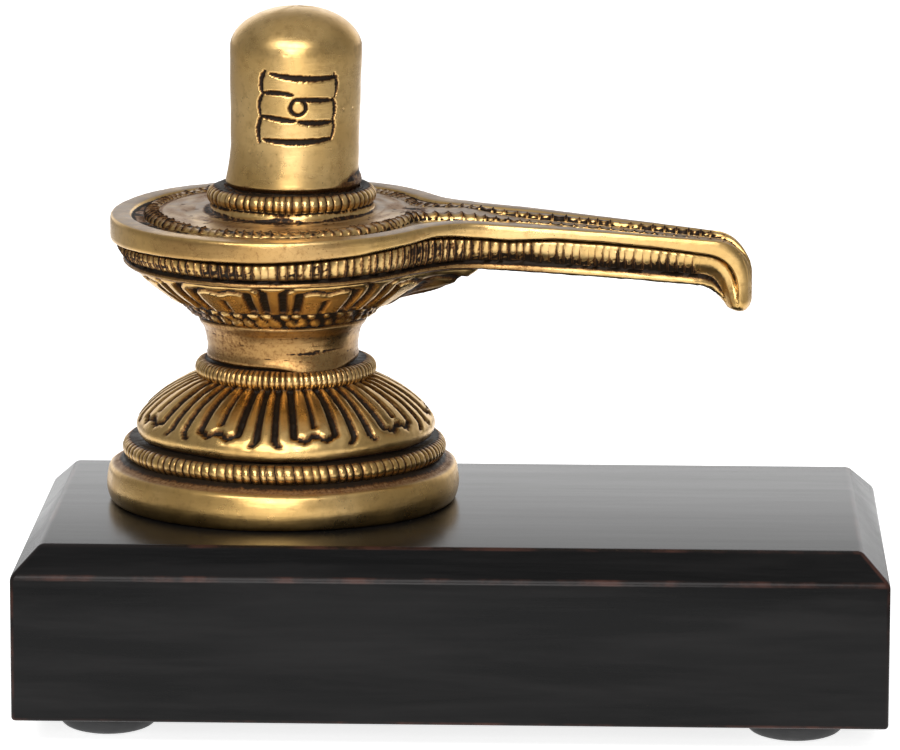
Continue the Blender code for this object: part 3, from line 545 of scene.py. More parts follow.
class Keyhole:
    """Half of a keyhole outline: a straight edge, a fillet and a round arc, by length from the tip."""

    def __init__(self, radius, half_width, taper, fillet, tip):
        scale = math.hypot(1.0, taper)
        normal = np.array([taper, 1.0]) / scale
        self.along = np.array([1.0, -taper]) / scale
        offset = half_width / scale
        reach = math.sqrt((radius + fillet) ** 2 - (offset + fillet) ** 2)
        self.centre = normal * (offset + fillet) + self.along * reach
        self.radius = radius
        self.fillet = fillet
        self.edge_end = self.centre - normal * fillet
        self.line_length = (tip - self.edge_end[0]) * scale
        self.arc_start = math.atan2(self.centre[1], self.centre[0])
        self.fillet_first = math.atan2(-normal[1], -normal[0])
        last = self.arc_start + math.pi
        self.fillet_turn = (last - self.fillet_first + math.pi) % (2 * math.pi) - math.pi
        self.fillet_length = fillet * abs(self.fillet_turn)
        self.length = self.line_length + self.fillet_length + radius * (math.pi - self.arc_start)

    def points(self, lengths):
        """Plan points at the given lengths from the tip."""
        on_line = self.edge_end + (self.line_length - lengths)[:, None] * self.along
        turn = self.fillet_first + self.fillet_turn * (lengths - self.line_length) / self.fillet_length
        on_fillet = self.centre + self.fillet * np.stack([np.cos(turn), np.sin(turn)], axis=-1)
        angle = self.arc_start + (lengths - self.line_length - self.fillet_length) / self.radius
        on_arc = self.radius * np.stack([np.cos(angle), np.sin(angle)], axis=-1)
        past_line = (lengths > self.line_length)[:, None]
        past_fillet = (lengths > self.line_length + self.fillet_length)[:, None]
        return np.where(past_fillet, on_arc, np.where(past_line, on_fillet, on_line))


def droop(station):
    """How far the spout has sunk below the yoni's plane, by distance from the middle."""
    past = np.maximum(station - DROOP_START, 0.0)
    return -(DROOP_SLOPE * past + DROOP_CURVE * past * past)


BEAK_HEADING = math.atan(DROOP_SLOPE + 2 * DROOP_CURVE * (BEAK_TOP_START - DROOP_START) - RISE_ALONG)
BEAK_BEND_LENGTH = BEAK_BEND_RADIUS * (math.pi / 2 - BEAK_HEADING)
TIP_STATION = BEAK_TOP_START + BEAK_BEND_LENGTH + BEAK_DROP
RIM = Keyhole(YONI_RADIUS, SPOUT_HALF_WIDTH + SPOUT_TAPER * SPOUT_WIDTH_STATION, SPOUT_TAPER,
              YONI_FILLET, TIP_STATION)
ROPE = Keyhole(ROPE_RADIUS, CHANNEL_HALF_SPACING + CHANNEL_TAPER * SPOUT_WIDTH_STATION, CHANNEL_TAPER,
               ROPE_FILLET, TIP_STATION)


def spout_top(station):
    """Top line of the spout, as (reach, height) at lengths measured along it."""
    straight = np.minimum(station, BEAK_TOP_START)
    turned_by = np.clip(station - BEAK_TOP_START, 0.0, BEAK_BEND_LENGTH) / BEAK_BEND_RADIUS
    heading = BEAK_HEADING + turned_by
    reach = straight + BEAK_BEND_RADIUS * (np.sin(heading) - math.sin(BEAK_HEADING))
    height = droop(straight) + RISE_ALONG * straight
    height = height - BEAK_BEND_RADIUS * (math.cos(BEAK_HEADING) - np.cos(heading))
    return reach, height - np.maximum(station - BEAK_TOP_START - BEAK_BEND_LENGTH, 0.0)


def spout_under(station):
    """Underside line of the spout, level with spout_top at the same length."""
    straight = np.minimum(station, BEAK_UNDER_START)
    height = droop(straight) + RISE_ALONG * straight - YONI_THICKNESS
    share = np.clip((station - BEAK_UNDER_START) / (TIP_STATION - BEAK_UNDER_START), 0.0, 1.0)
    start_height = droop(BEAK_UNDER_START) + RISE_ALONG * BEAK_UNDER_START - YONI_THICKNESS
    start = np.array([BEAK_UNDER_START, start_height])
    end_reach, end_height = spout_top(np.array([TIP_STATION]))
    end = np.array([end_reach[0] - BEAK_END_DEPTH, end_height[0]])
    run = end[0] - start[0]
    lean = 0.35 * (start[1] - end[1])
    first = start + np.array([0.4 * run, -0.1 * lean])
    second = end + np.array([-0.3 * run, 1.6 * lean])
    keep = (1 - share)[:, None]
    pass_on = share[:, None]
    curve = (keep ** 3 * start + 3 * keep ** 2 * pass_on * first
             + 3 * keep * pass_on ** 2 * second + pass_on ** 3 * end)
    bent = share > 0
    return np.where(bent, curve[:, 0], straight), np.where(bent, curve[:, 1], height)


def place_yoni(plan, depth, stations):
    """Bend rows down along the spout, tilt them with the yoni and turn them to their place."""
    top_reach, top_height = spout_top(stations)
    under_reach, under_height = spout_under(stations)
    share = -depth / YONI_THICKNESS
    bent_reach = top_reach + (under_reach - top_reach) * share
    bent_height = top_height + (under_height - top_height) * share
    flat_height = depth + droop(plan[..., 0]) + RISE_ALONG * plan[..., 0]
    past_beak = stations > BEAK_UNDER_START
    reach = np.where(past_beak, bent_reach, plan[..., 0])
    height = np.where(past_beak, bent_height, flat_height) + RISE_BACK * plan[..., 1]
    x = AXIS_X + reach * math.cos(SPOUT_TURN) - plan[..., 1] * math.sin(SPOUT_TURN)
    y = AXIS_Y + reach * math.sin(SPOUT_TURN) + plan[..., 1] * math.cos(SPOUT_TURN)
    return np.stack([x, y, BRASS_Z + YONI_TOP + height], axis=-1)


# Lengths along the rim's outline and along the rope's that lie beside each other
RIM_BREAKS = (0.0, RIM.line_length, RIM.line_length + RIM.fillet_length, RIM.length)
ROPE_BREAKS = (0.0, ROPE.line_length - (RIM.edge_end[0] - ROPE.edge_end[0]) / ROPE.along[0],
               ROPE.line_length + ROPE.fillet_length + ROPE.radius * (RIM.arc_start - ROPE.arc_start),
               ROPE.length)


def matched_rope(lengths):
    """Lengths along the rope's outline that lie beside lengths along the rim's."""
    return np.interp(lengths, RIM_BREAKS, ROPE_BREAKS)


def beside_rope(lengths):
    """Lengths along the rim's outline that lie beside lengths along the rope's."""
    return np.interp(lengths, ROPE_BREAKS, RIM_BREAKS)


# Stations, as distances from the yoni's middle: the spout's root, its outer part, and its beak's bend and tip
SPOUT_ROOT = (17.0, 21.0)
OUTER_SPOUT = (33.0, 41.0)
BEAK_BEND = (58.5, 61.5)
BEAK_TIP = (64.0, 65.5)

# Height of the plain outer band of the rim along the spout's near side, by distance from the middle,
# and the steadier height that the far side's tends to
BAND_STATIONS = (-23.4, -12.0, 0.0, 12.0, 18.0, 21.5, 26.0, 31.0, 37.0, 43.0, 50.0, 56.0, 60.0)
BAND_HEIGHTS = (3.3, 3.0, 2.75, 2.5, 2.0, 1.65, 2.0, 2.1, 1.45, 1.35, 1.6, 2.0, 2.2)
FAR_BAND_HEIGHT = 2.5
FAR_BAND_STEADY = 0.65


def rope_flush(stations, near):
    """Share by which the rope has sunk level with the worn rim, in the middle of the near side."""
    worn = smoothstep((stations + 20.0) / 8.0) * ramp(stations, 15.0, 9.0)
    return worn if near else 0.0 * worn


def yoni_rows(name, lengths, near):
    """Control rows of one band across the rim and rope: plan points, depths and stations."""
    rim = RIM.points(lengths)
    rope = ROPE.points(matched_rope(lengths))
    stations = rim[:, 0]
    gap = rope - rim
    width = np.linalg.norm(gap, axis=1)
    inward = gap / width[:, None]
    on_disc = ramp(width, 4.0, 5.2)
    on_spout = ramp(stations, 22.0, 34.0)
    half = BEAD_HALF_WIDTH + (ROPE_HALF_WIDTH - BEAD_HALF_WIDTH) * on_disc
    rim_top = 0.5 * np.minimum(width, YONI_RADIUS - ROPE_RADIUS)
    flush = rope_flush(stations, near)
    rise = ROPE_RAISE * on_disc * (1.0 - 0.5 * flush) - 0.1 * (1.0 - on_disc)
    floor = -CHANNEL_SINK + (CHANNEL_SINK + FLOOR_RAISE) * on_disc
    ditch = -0.25 - 0.35 * on_disc + 0.3 * flush
    turns = lengths / RIM.length * math.pi
    uneven = waves(turns, 51 if near else 52, 3, 9)
    band = -np.interp(stations, BAND_STATIONS, BAND_HEIGHTS)
    if not near:
        band = band + FAR_BAND_STEADY * (-FAR_BAND_HEIGHT - band)
    band = band + 0.12 * uneven
    top = 0.07 * waves(turns, 53 if near else 54, 4, 12)
    reed_top = band - 0.38 + 0.06 * on_spout + 0.08 * uneven
    reed_low = -5.3 + 0.08 * uneven + 0.45 * on_spout
    lip_top = -YONI_THICKNESS + 0.65 + 0.25 * on_spout
    inset = REED_INSET
    lean = 0.1 + 0.45 * on_spout
    above_reeds = (rim, inset + 0.8, 0.5 * (band + reed_top))
    below_reeds = (rim, inset + 0.95, reed_low - 0.3)
    beside_rim = (rope, -1.15 * half, ditch)
    bands = {
        "rope": [(rope, half * 1.25, floor), (rope, half, floor),
                 (rope, 0.85 * half, 0.45 * floor + 0.55 * rise),
                 (rope, 0.35 * half, rise), (rope, -0.35 * half, rise),
                 (rope, -0.85 * half, 0.45 * ditch + 0.55 * rise), (rope, -half, ditch), beside_rim],
        "rim": [beside_rim, (rim, rim_top + 0.15, ditch), (rim, rim_top + 0.05, -0.35 + top),
                (rim, rim_top - 0.25, top), (rim, 0.55, top), (rim, 0.12, -0.12 + top), (rim, 0.0, -0.65),
                (rim, 0.0, 0.5 * band), (rim, 0.0, band + 0.35), (rim, 0.18, band),
                (rim, inset + 0.55, band - 0.12), above_reeds],
        "reeds": [above_reeds, (rim, inset + 0.45, reed_top + 0.1), (rim, inset + 0.05, reed_top - 0.05),
                  (rim, inset - 0.08, reed_top - 0.4),
                  (rim, inset - 0.08 + 0.15 * lean, 0.5 * (reed_top + reed_low)),
                  (rim, inset + 0.7 * lean, reed_low + 0.7), (rim, inset + 0.2 + lean, reed_low + 0.2),
                  (rim, inset + 0.6 + 0.6 * lean, reed_low - 0.1), below_reeds],
        "lip": [below_reeds, (rim, inset + 0.55, lip_top), (rim, inset + 0.4, lip_top - 0.25),
                (rim, inset + 0.45, -YONI_THICKNESS + 0.25), (rim, inset + 0.8, -YONI_THICKNESS),
                (rim, inset + 1.3, -YONI_THICKNESS)],
    }
    plan = np.stack([start + inward * (offset + 0.0 * width)[:, None] for start, offset, _ in bands[name]])
    depth = np.stack([height + 0.0 * width for _, _, height in bands[name]])
    return plan, depth, stations


# Share of the way round the spout's end section, from top to underside, that each band takes
BEAK_ORDER = {"rope": (0.0, 0.12), "rim": (0.12, 0.52), "reeds": (0.52, 0.82), "lip": (0.82, 1.0)}


def yoni_band(name, lengths, near):
    """A smooth band of the yoni's near or far side, as a grid of points, with its stations."""
    plan, depth, stations = yoni_rows(name, lengths, near)
    plan = round_off(plan)
    depth = round_off(depth)
    share = (stations - BEAK_TOP_START) / (TIP_STATION - BEAK_TOP_START)
    ease = smoothstep(share * 1.02)
    past = np.clip(share - 0.85, 0.0, None) / 0.153
    close = np.sqrt(np.clip(1.0 - past ** 2, 0.0, 1.0))
    angle = 0.05 + (math.pi - 0.1) * np.linspace(*BEAK_ORDER[name], len(plan))[:, None]
    across = BEAK_END_HALF_WIDTH * np.sin(angle)
    sunk = -YONI_THICKNESS * (1 - np.cos(angle)) / 2
    width = (plan[..., 1] + (across - plan[..., 1]) * ease) * close
    middle = -YONI_THICKNESS / 2
    height = middle + (depth + (sunk - depth) * ease - middle) * close
    placed = place_yoni(np.stack([plan[..., 0], -width if near else width], axis=-1), height, stations)
    return placed, stations


def push(grid, cut):
    """Move a grid of points inwards along its own normals. Rows run across the band."""
    normal = np.cross(np.gradient(grid, axis=1), np.gradient(grid, axis=0))
    normal /= np.maximum(np.linalg.norm(normal, axis=-1, keepdims=True), 1e-9)
    return grid + normal * cut[..., None]


def both_sides(name, lengths, relief):
    """A band of the yoni round from the near tip to the far tip, with its relief and tones."""
    parts = []
    for near in (True, False):
        grid, stations = yoni_band(name, lengths[near], near)
        cut, dark, dull = relief(near, np.linspace(0.0, 1.0, len(grid))[:, None], stations)
        grid = push(grid, cut if near else -cut)
        tones = np.stack([dark + 0.0 * cut, dull + 0.0 * cut], axis=-1)
        part = np.concatenate([grid, tones], axis=-1)
        parts.append(part if near else part[:, -2::-1])
    whole = np.concatenate(parts, axis=1)
    return whole[..., :3], whole[..., 3], whole[..., 4]


def tip_dense(count, power):
    """Lengths along half the rim, closer together towards the tip."""
    return RIM.length * np.linspace(0.0, 1.0, count) ** power


def cut_lengths(spout_length, spout_pitch, whole_length, disc_pitch, seed):
    """Columns along half an outline that follow its reeds or strands, for the near and far side."""
    made = {}
    on_spout = spout_length / spout_pitch
    count = int(on_spout + (whole_length - spout_length) / disc_pitch)
    for near in (True, False):
        shares, notch = reeds(count, seed + near, 0.22)
        lengths = np.interp(np.append(shares, 1.0) * count, (0.0, on_spout, count),
                            (0.0, spout_length, whole_length))
        made[near] = (lengths, np.append(notch, notch[0]))
    return made


def path_keys(lengths):
    """Share of the way from the near tip round to the far tip, at each column."""
    far = 2.0 - lengths[False][::-1][1:] / RIM.length
    return np.concatenate([lengths[True] / RIM.length, far]) / 2.0


# Tone of a hollow place that has stayed bright, such as the floor of the channel
CLEAN = 0.9


def build_yoni(skin):
    """The yoni with its rope, rim, reeded edge and spout. Returns its floor edge and underside rows."""
    strands = cut_lengths(ROPE.line_length, BEAD_PITCH, ROPE.length, ROPE_PITCH, 61)
    strands = {near: (beside_rope(lengths), notch) for near, (lengths, notch) in strands.items()}
    edge_reeds = cut_lengths(RIM.line_length + RIM.fillet_length, SPOUT_REED_PITCH,
                             RIM.length, REED_PITCH, 63)
    plain = {near: (tip_dense(160, 1.25), None) for near in (True, False)}

    # Each band's relief at places across it (0 to 1) and stations along it: its cut and its two tones
    def rope_relief(near, place, stations):
        across = 2.0 * place - 1.0
        on_spout = ramp(stations, 18.5, 20.5)
        flush = rope_flush(stations, near)
        lengths, notch = strands[near]
        slant = ROPE_SLANT * (1.0 - ramp(stations, *SPOUT_ROOT)) * (1.0 if near else -1.0)
        notch = np.interp(lengths + slant * across, lengths, notch) * ramp(stations, 61.0, 58.0)
        rounded = np.clip(1.0 - across ** 2, 0.0, 1.0) ** 0.5
        grain = rough(notch.shape, 64 + near, 0.02) * (np.abs(across) < 0.99)
        ditch_tone = 0.4 * (1.0 - flush) - (0.4 + CLEAN) * on_spout
        body = smoothstep((0.85 - 0.25 * on_spout - np.abs(across)) / 0.2)
        dark = np.clip(notch * 0.8 * body, 0.0, 1.0) + ditch_tone * ramp(np.abs(across), 0.72, 0.92)
        dull = (0.7 + 0.3 * on_spout) * (1.0 - 0.7 * flush)
        return (0.36 - 0.1 * ramp(stations, 18.0, 21.0)) * notch * rounded + grain, dark, dull

    def rim_relief(near, place, stations):
        inner = ramp(place, 0.13, 0.05)
        on_spout = ramp(stations, *SPOUT_ROOT)
        flush = rope_flush(stations, near)
        ditch = inner * (0.4 * (1.0 - on_spout) * (1.0 - flush) - CLEAN * on_spout)
        under = ramp(place, 0.84, 0.89) * (1.0 - ramp(stations, *BEAK_BEND))
        dark = np.where(inner > 0.0, ditch, np.maximum(under, 0.15 * ramp(place, 0.45, 0.5) * flush))
        return rough(dark.shape, 66 + near, 0.010), dark, ramp(place, 0.46, 0.4) * (1.0 - 0.75 * flush)

    def reed_relief(near, place, stations):
        wedge = ramp(stations, 30.0, 38.0)
        face = smoothstep((place - 0.16 - 0.12 * wedge) / (0.12 + 0.36 * wedge)) * ramp(place, 0.97, 0.89)
        strong = edge_reeds[near][1] * (1.0 + 0.25 * wedge)
        notch = strong ** (1.0 + 1.6 * wedge * (1.0 - face)) * face * ramp(stations, 58.0, 54.0)
        above = ramp(place, 0.13, 0.06) * (1.0 - ramp(stations, *BEAK_BEND))
        below = ramp(place - 0.05 * ramp(stations, *OUTER_SPOUT), 0.86, 0.94)
        below = below * (1.0 - ramp(stations, *BEAK_TIP))
        dark = np.clip(np.maximum.reduce([notch, above, below]), 0.0, 1.0)
        return 0.26 * notch + rough(notch.shape, 68 + near, 0.012), dark, 0.0

    def lip_relief(near, place, stations):
        bright = ramp(stations, *OUTER_SPOUT)
        furrow = ramp(place, 0.3 - 0.12 * bright, 0.1 - 0.04 * bright) * (1.0 - ramp(stations, *BEAK_TIP))
        below = ramp(place - 0.16 * bright, 0.52, 0.67) * (0.25 + 0.25 * ramp(stations, 22.0, 32.0))
        dark = np.maximum(0.95 * furrow, 0.2 - 0.18 * bright + below)
        return rough(dark.shape, 70 + near, 0.03), dark, 0.0

    stacks = []
    for name, columns, relief in (("rope", strands, rope_relief), ("rim", plain, rim_relief),
                                  ("reeds", edge_reeds, reed_relief), ("lip", plain, lip_relief)):
        lengths = {near: columns[near][0] for near in (True, False)}
        rows = skin.stack(*both_sides(name, lengths, relief), closed=False)
        keys = path_keys(lengths)
        if stacks:
            before, before_keys = stacks[-1]
            skin.zip_rows(before[-1], before_keys, rows[0], keys, closed=False)
            skin.face(before[-1][0], rows[0][0], rows[0][-1], before[-1][-1])
        for first, second in zip(rows, rows[1:]):
            skin.face(first[0], second[0], second[-1], first[-1])
        stacks.append((rows, keys))
    floor_loop = close_spout(skin, stacks[0][0][0], ROPE_RADIUS + ROPE_FILLET)
    under_loop = close_spout(skin, stacks[-1][0][-1], BOWL_LOBE_REACH)
    return floor_loop, under_loop


def close_spout(skin, row, until):
    """Join the near and far side of a row across the spout, and return what is left as a loop."""
    points = np.concatenate(skin.points)
    reach = points[row, 0] - AXIS_X
    low = int(np.argmax(reach < until))
    high = len(row) - int(np.argmax(reach[::-1] < until)) - 1
    near = row[:low + 1]
    far = row[high:][::-1]
    keys, far_keys = [reach_keys(points[side]) for side in (near, far)]
    inner = near[1:-1]
    opposite = np.stack([np.interp(keys[1:-1], far_keys, points[far, axis]) for axis in range(3)], axis=1)
    tones = [np.concatenate(layer)[inner] for layer in (skin.dark, skin.dull)]
    first, second = [skin.add(points[inner] + share * (opposite - points[inner]), *tones)
                     for share in (0.16, 0.84)]
    skin.zip_rows(near, keys, first, keys[1:-1], closed=False)
    skin.bridge(first, second, closed=False)
    skin.zip_rows(second, keys[1:-1], far, far_keys, closed=False)
    for end in (0, -1):
        skin.face(near[end], first[end], second[end], far[end])
    return row[low:high + 1]


def reach_keys(points):
    """Share of the run's own length at each point."""
    steps = np.linalg.norm(np.diff(points, axis=0), axis=1)
    places = np.concatenate([[0.0], np.cumsum(steps)])
    return places / places[-1]


def build_bowl(skin, below, under_loop):
    """Petalled bowl, which swells out to meet the keyhole of the yoni's underside."""
    angles, across = petal_columns(BOWL_PETALS, BOWL_TURN, 40)
    edge = np.concatenate(skin.points)[under_loop]
    edge_angles = np.mod(np.arctan2(edge[:, 1] - AXIS_Y, edge[:, 0] - AXIS_X), 2 * math.pi)
    edge_reach = np.hypot(edge[:, 1] - AXIS_Y, edge[:, 0] - AXIS_X)
    order = np.argsort(edge_angles)
    reach = np.interp(angles, edge_angles[order], edge_reach[order], period=2 * math.pi) - 0.3
    swell = reach - BOWL_TOP_RADIUS
    corners = [(BOWL_RADIUS - 0.5, BOWL_Z), (BOWL_RADIUS + 0.2, BOWL_Z + 0.1),
               (BOWL_RADIUS + 1.2, BOWL_Z + 0.8), (18.5, 30.2), (20.2, 31.8),
               (BOWL_TOP_RADIUS - 0.1, BOWL_TOP_Z - 0.35), (BOWL_TOP_RADIUS - 0.1, BOWL_TOP_Z)]
    rows = profile(corners, 28)
    along = np.clip((rows[:, 1:] - BOWL_Z) / (BOWL_TOP_Z - BOWL_Z), 0.0, 1.0)
    radius = rows[:, :1] + along * swell
    half_pitch = radius * math.pi / BOWL_PETALS
    share = petal_cut(across, along, half_pitch, 7.6, BOWL_LEAF_SIDE, 0.72, 0.5, (0.58, 0.42, 0.5, 0.6))
    share = share * smoothstep(along / 0.08)
    cut = 0.85 * share * np.clip(0.9 + 0.15 * waves(angles, 81, 2, 6), 0.5, 1.2)
    cut = cut - 0.08 * leaf_crown(across, BOWL_LEAF_SIDE) + 0.10 * waves(angles, 82, 2, 7)
    cut = cut + rough(cut.shape, 83, 1.0) * (0.012 + 0.06 * share)
    folds = ramp(swell, 0.6, 2.2) * np.sin(19.0 * angles + 4.0 * along)
    cut = cut + 0.6 * folds * np.sin(math.pi * along)
    grid = turned(rows, angles, cut)
    outward = np.stack([np.cos(angles), np.sin(angles)], axis=-1)
    grid[..., :2] += along[..., None] * swell[:, None] * outward
    plan_x = reach * np.cos(angles)
    plan_y = reach * np.sin(angles)
    tilt = RISE_ALONG * plan_x + RISE_BACK * plan_y + droop(plan_x)
    grid[..., 2] += along * tilt
    shaded = np.maximum(0.15 * ramp(swell, 1.0, 4.0) * (1.0 - along), 0.6 * np.clip(folds, 0.0, 1.0))
    dark = np.clip(np.maximum(share, 0.9 * ramp(along, 0.04, 0.0)) + shaded, 0.0, 1.0)
    bowl = skin.stack(grid, dark)
    skin.zip_round(below[-1], bowl[0])
    skin.zip_round(under_loop, bowl[-1])


FLOOR_RINGS = 7


def build_floor(skin, floor_loop):
    """The yoni's floor, slightly dished and pitted, from the rope to the ring's foot."""
    angles = even_angles(160)
    outer = ROPE_RADIUS - ROPE_HALF_WIDTH * 1.6
    inner = LINGA_RING_RADIUS - 0.2
    in_front = smoothstep(np.cos(angles - FRONT) * 1.6)
    rings = []
    for i in range(FLOOR_RINGS):
        share = i / (FLOOR_RINGS - 1)
        radius = outer + (inner - outer) * share
        shift = LINGA_RING_SHIFT * share
        x = shift + radius * np.cos(angles)
        y = radius * np.sin(angles)
        height = YONI_TOP + FLOOR_RAISE + 0.12 * share + RISE_ALONG * x + RISE_BACK * y
        height = height + rough(len(angles), 90 + i, 0.03) * (0.2 < share < 0.7)
        points = np.stack([AXIS_X + x, AXIS_Y + y, BRASS_Z + height], axis=-1)
        mottled = 0.14 + 0.16 * waves(angles, 91 + i, 4, 14)
        rings.append(skin.add(points, mottled if share < 0.8 else -0.3, 1.0 - 0.6 * in_front))
    skin.zip_round(floor_loop, rings[0])
    for first, second in zip(rings, rings[1:]):
        skin.bridge(first, second)
    return rings[-1]


# The three engraved strokes of the forehead mark, its brackets and its ring, on the linga's front:
# each stroke has its ends as (angle, height), how far its middle bows, and its half thickness
MARK_Z = 49.6
MARK_TURN = 3.35
STROKES = (
    ((-20.4, 9.4), (42.0, 8.9), -0.35, 0.33),
    ((-27.5, 6.8), (1.5, 6.6), 0.12, 0.25),
    ((5.5, 6.1), (36.5, 5.8), -0.05, 0.26),
    ((-28.8, 3.7), (4.2, 3.1), -0.05, 0.27),
    ((5.2, 3.05), (37.5, 2.9), -0.18, 0.28),
    ((-27.0, 0.5), (37.0, 0.6), -0.28, 0.33),
)
BRACKETS = (
    ((-24.8, 9.8), (-28.1, 6.9), -0.35, 0.27),
    ((-27.5, 6.6), (-29.5, 3.9), -0.35, 0.23),
    ((-28.6, 3.6), (-30.5, 0.2), -0.32, 0.28),
    ((38.5, 9.3), (39.5, 6.2), 0.42, 0.20),
    ((37.3, 6.0), (38.8, 3.4), 0.28, 0.22),
    ((38.2, 3.4), (36.6, 0.5), 0.32, 0.20),
)
MARK_RING = ((5.5, 4.98), 1.04, 0.22)


def engraving(angles, heights):
    """Share of the engraver's cut at places on the linga's side, in degrees and millimetres."""
    x = np.radians(angles + MARK_TURN)[None, :] * LINGA_RADIUS
    z = (heights - MARK_Z)[:, None]
    ragged = rough((len(heights), len(angles)), 105, 0.035)
    total = np.zeros((len(heights), len(angles)))
    kinds = ((STROKES, False, 0.15, 1.0), (BRACKETS, True, 0.6, 0.5))
    for marks, bows_aside, end_share, middle_share in kinds:
        for (angle_a, z_a), (angle_b, z_b), bow, thick in marks:
            start = np.array([math.radians(angle_a) * LINGA_RADIUS, z_a])
            end = np.array([math.radians(angle_b) * LINGA_RADIUS, z_b])
            run = end - start
            length = np.linalg.norm(run)
            run = run / length
            side = (1.0, 0.0) if bows_aside else (-run[1], run[0])
            place = np.clip(((x - start[0]) * run[0] + (z - start[1]) * run[1]) / length, 0.0, 1.0)
            arch = 4 * place * (1 - place)
            away_x = x - start[0] - run[0] * place * length - side[0] * bow * arch
            away_z = z - start[1] - run[1] * place * length - side[1] * bow * arch
            half = thick * (end_share + middle_share * np.sqrt(arch)) + ragged
            total = np.maximum(total, 1.0 - smoothstep((np.hypot(away_x, away_z) - half + 0.07) / 0.14))
    (angle, height), radius, half = MARK_RING
    away = np.hypot(x - math.radians(angle) * LINGA_RADIUS, z - height)
    return np.maximum(total, 1.0 - smoothstep((np.abs(away - radius) - half + 0.07) / 0.14))


def merge_places(*runs):
    """Join several evenly spaced stretches, each (first, last, step), into one rising run."""
    places = [np.arange(first, last - 0.4 * step, step) for first, last, step in runs]
    return np.concatenate(places)


def build_linga(skin, floor_edge):
    """The reeded ring on the yoni's floor, and the linga standing in it."""
    foot_angles = even_angles(160)
    foot_rows = [(LINGA_RING_RADIUS - 0.25, YONI_TOP + 0.3), (LINGA_RING_RADIUS - 0.3, YONI_TOP + 0.75)]
    wander = 0.08 * waves(foot_angles, 100, 3, 9)
    foot = skin.stack(turned(foot_rows, foot_angles, wander, LINGA_RING_SHIFT), -0.3, 0.3)
    skin.zip_round(floor_edge, foot[0])
    ring = reeded_ring(skin, (LINGA_RING_RADIUS, LINGA_RING_Z, LINGA_RING_TUBE), LINGA_REEDS, 101, 0.30,
                       (-50, 128), 13, shift=LINGA_RING_SHIFT, dull=0.45)
    skin.zip_round(foot[-1], ring[0])

    turns = merge_places((-180, -39, 4.0), (-39, -23, 0.95), (-23, -6, 2.2), (-6, 13, 0.85), (13, 29, 2.2),
                         (29, 44, 0.95), (44, 180, 4.0))
    angles = FRONT + np.radians(turns)
    low = LINGA_FOOT_Z
    high = LINGA_TOP_Z - LINGA_DOME_HEIGHT
    heights = merge_places((low - 0.65, low + 0.55, 0.2), (low + 0.55, MARK_Z - 0.4, 0.75),
                           (MARK_Z - 0.4, MARK_Z + 10.5, 0.16), (MARK_Z + 10.5, high, 0.7))
    share = (heights - low) / (high - low)
    radius = np.interp(heights, (low - 0.7, low, low + 1.2, low + 2.5, low + 5.0, high),
                       (8.4, 9.0, 8.86, 8.74, 8.62, LINGA_TOP_RADIUS))
    shift = np.interp(share, (0.0, 0.25, 0.6, 1.0), (1.15, 1.5, 1.6, LINGA_TOP_SHIFT))
    dome = np.radians(np.concatenate([np.linspace(6, 78, 13), [83.0, 87.0]]))
    radius = np.concatenate([radius, LINGA_TOP_RADIUS * np.cos(dome)])
    heights = np.concatenate([heights, high + LINGA_DOME_HEIGHT * np.sin(dome)])
    shift = np.concatenate([shift, np.full(len(dome), LINGA_TOP_SHIFT)])
    rows = np.stack([radius, heights], axis=1)
    marks = engraving(turns, heights)
    soft = 0.035 * waves(angles, 102, 2, 6) * np.ones((len(rows), 1))
    soft = soft + 0.02 * np.sin(heights[:, None] * 0.9 + waves(angles, 103, 1, 4) * 2.0)
    cut = 0.33 * marks + soft
    climb = 1.6 * ramp(turns, 20.0, 80.0) * ramp(turns, 160.0, 120.0)
    climb = climb + 0.25 * waves(angles, 107, 6, 16)
    edge = smoothstep((low + 0.15 + climb - heights[:, None]) / 0.5)
    collar = smoothstep((low + climb - heights[:, None]) / 1.5) * smoothstep(climb)
    cut = cut - 0.35 * collar + rough(cut.shape, 106, 0.05) * collar
    dark = np.clip(np.maximum(marks, 0.42 * edge), 0.0, 1.0)
    linga = skin.stack(turned(rows, angles, cut, shift), dark)
    recess = skin.stack(turned([(LINGA_RING_RADIUS - 2.2, LINGA_RING_Z + 1.2), (8.6, LINGA_RING_Z + 0.95)],
                               foot_angles, rough((2, 160), 104, 0.12), 1.15), 0.6, 0.3)
    skin.zip_round(ring[-1], recess[0])
    skin.zip_round(recess[-1], linga[0])
    top = skin.add([(AXIS_X + LINGA_TOP_SHIFT, AXIS_Y, BRASS_Z + LINGA_TOP_Z)])[0]
    skin.fan(linga[-1], top)


def build_brass():
    """The whole casting, as one closed surface."""
    skin = Skin()
    ring = build_base(skin)
    foot = build_foot(skin, ring)
    frieze = build_neck(skin, foot)
    floor_loop, under_loop = build_yoni(skin)
    build_bowl(skin, frieze, under_loop)
    floor_edge = build_floor(skin, floor_loop)
    build_linga(skin, floor_edge)
    return skin.to_object("brass_casting")


# Plinth's chamfer, the rounding of its edges, and how far off a flat face counts as worn edge
PLINTH_CHAMFER = 3.7
PLINTH_EDGE_ROUND = 0.55
EDGE_REACH = 0.03


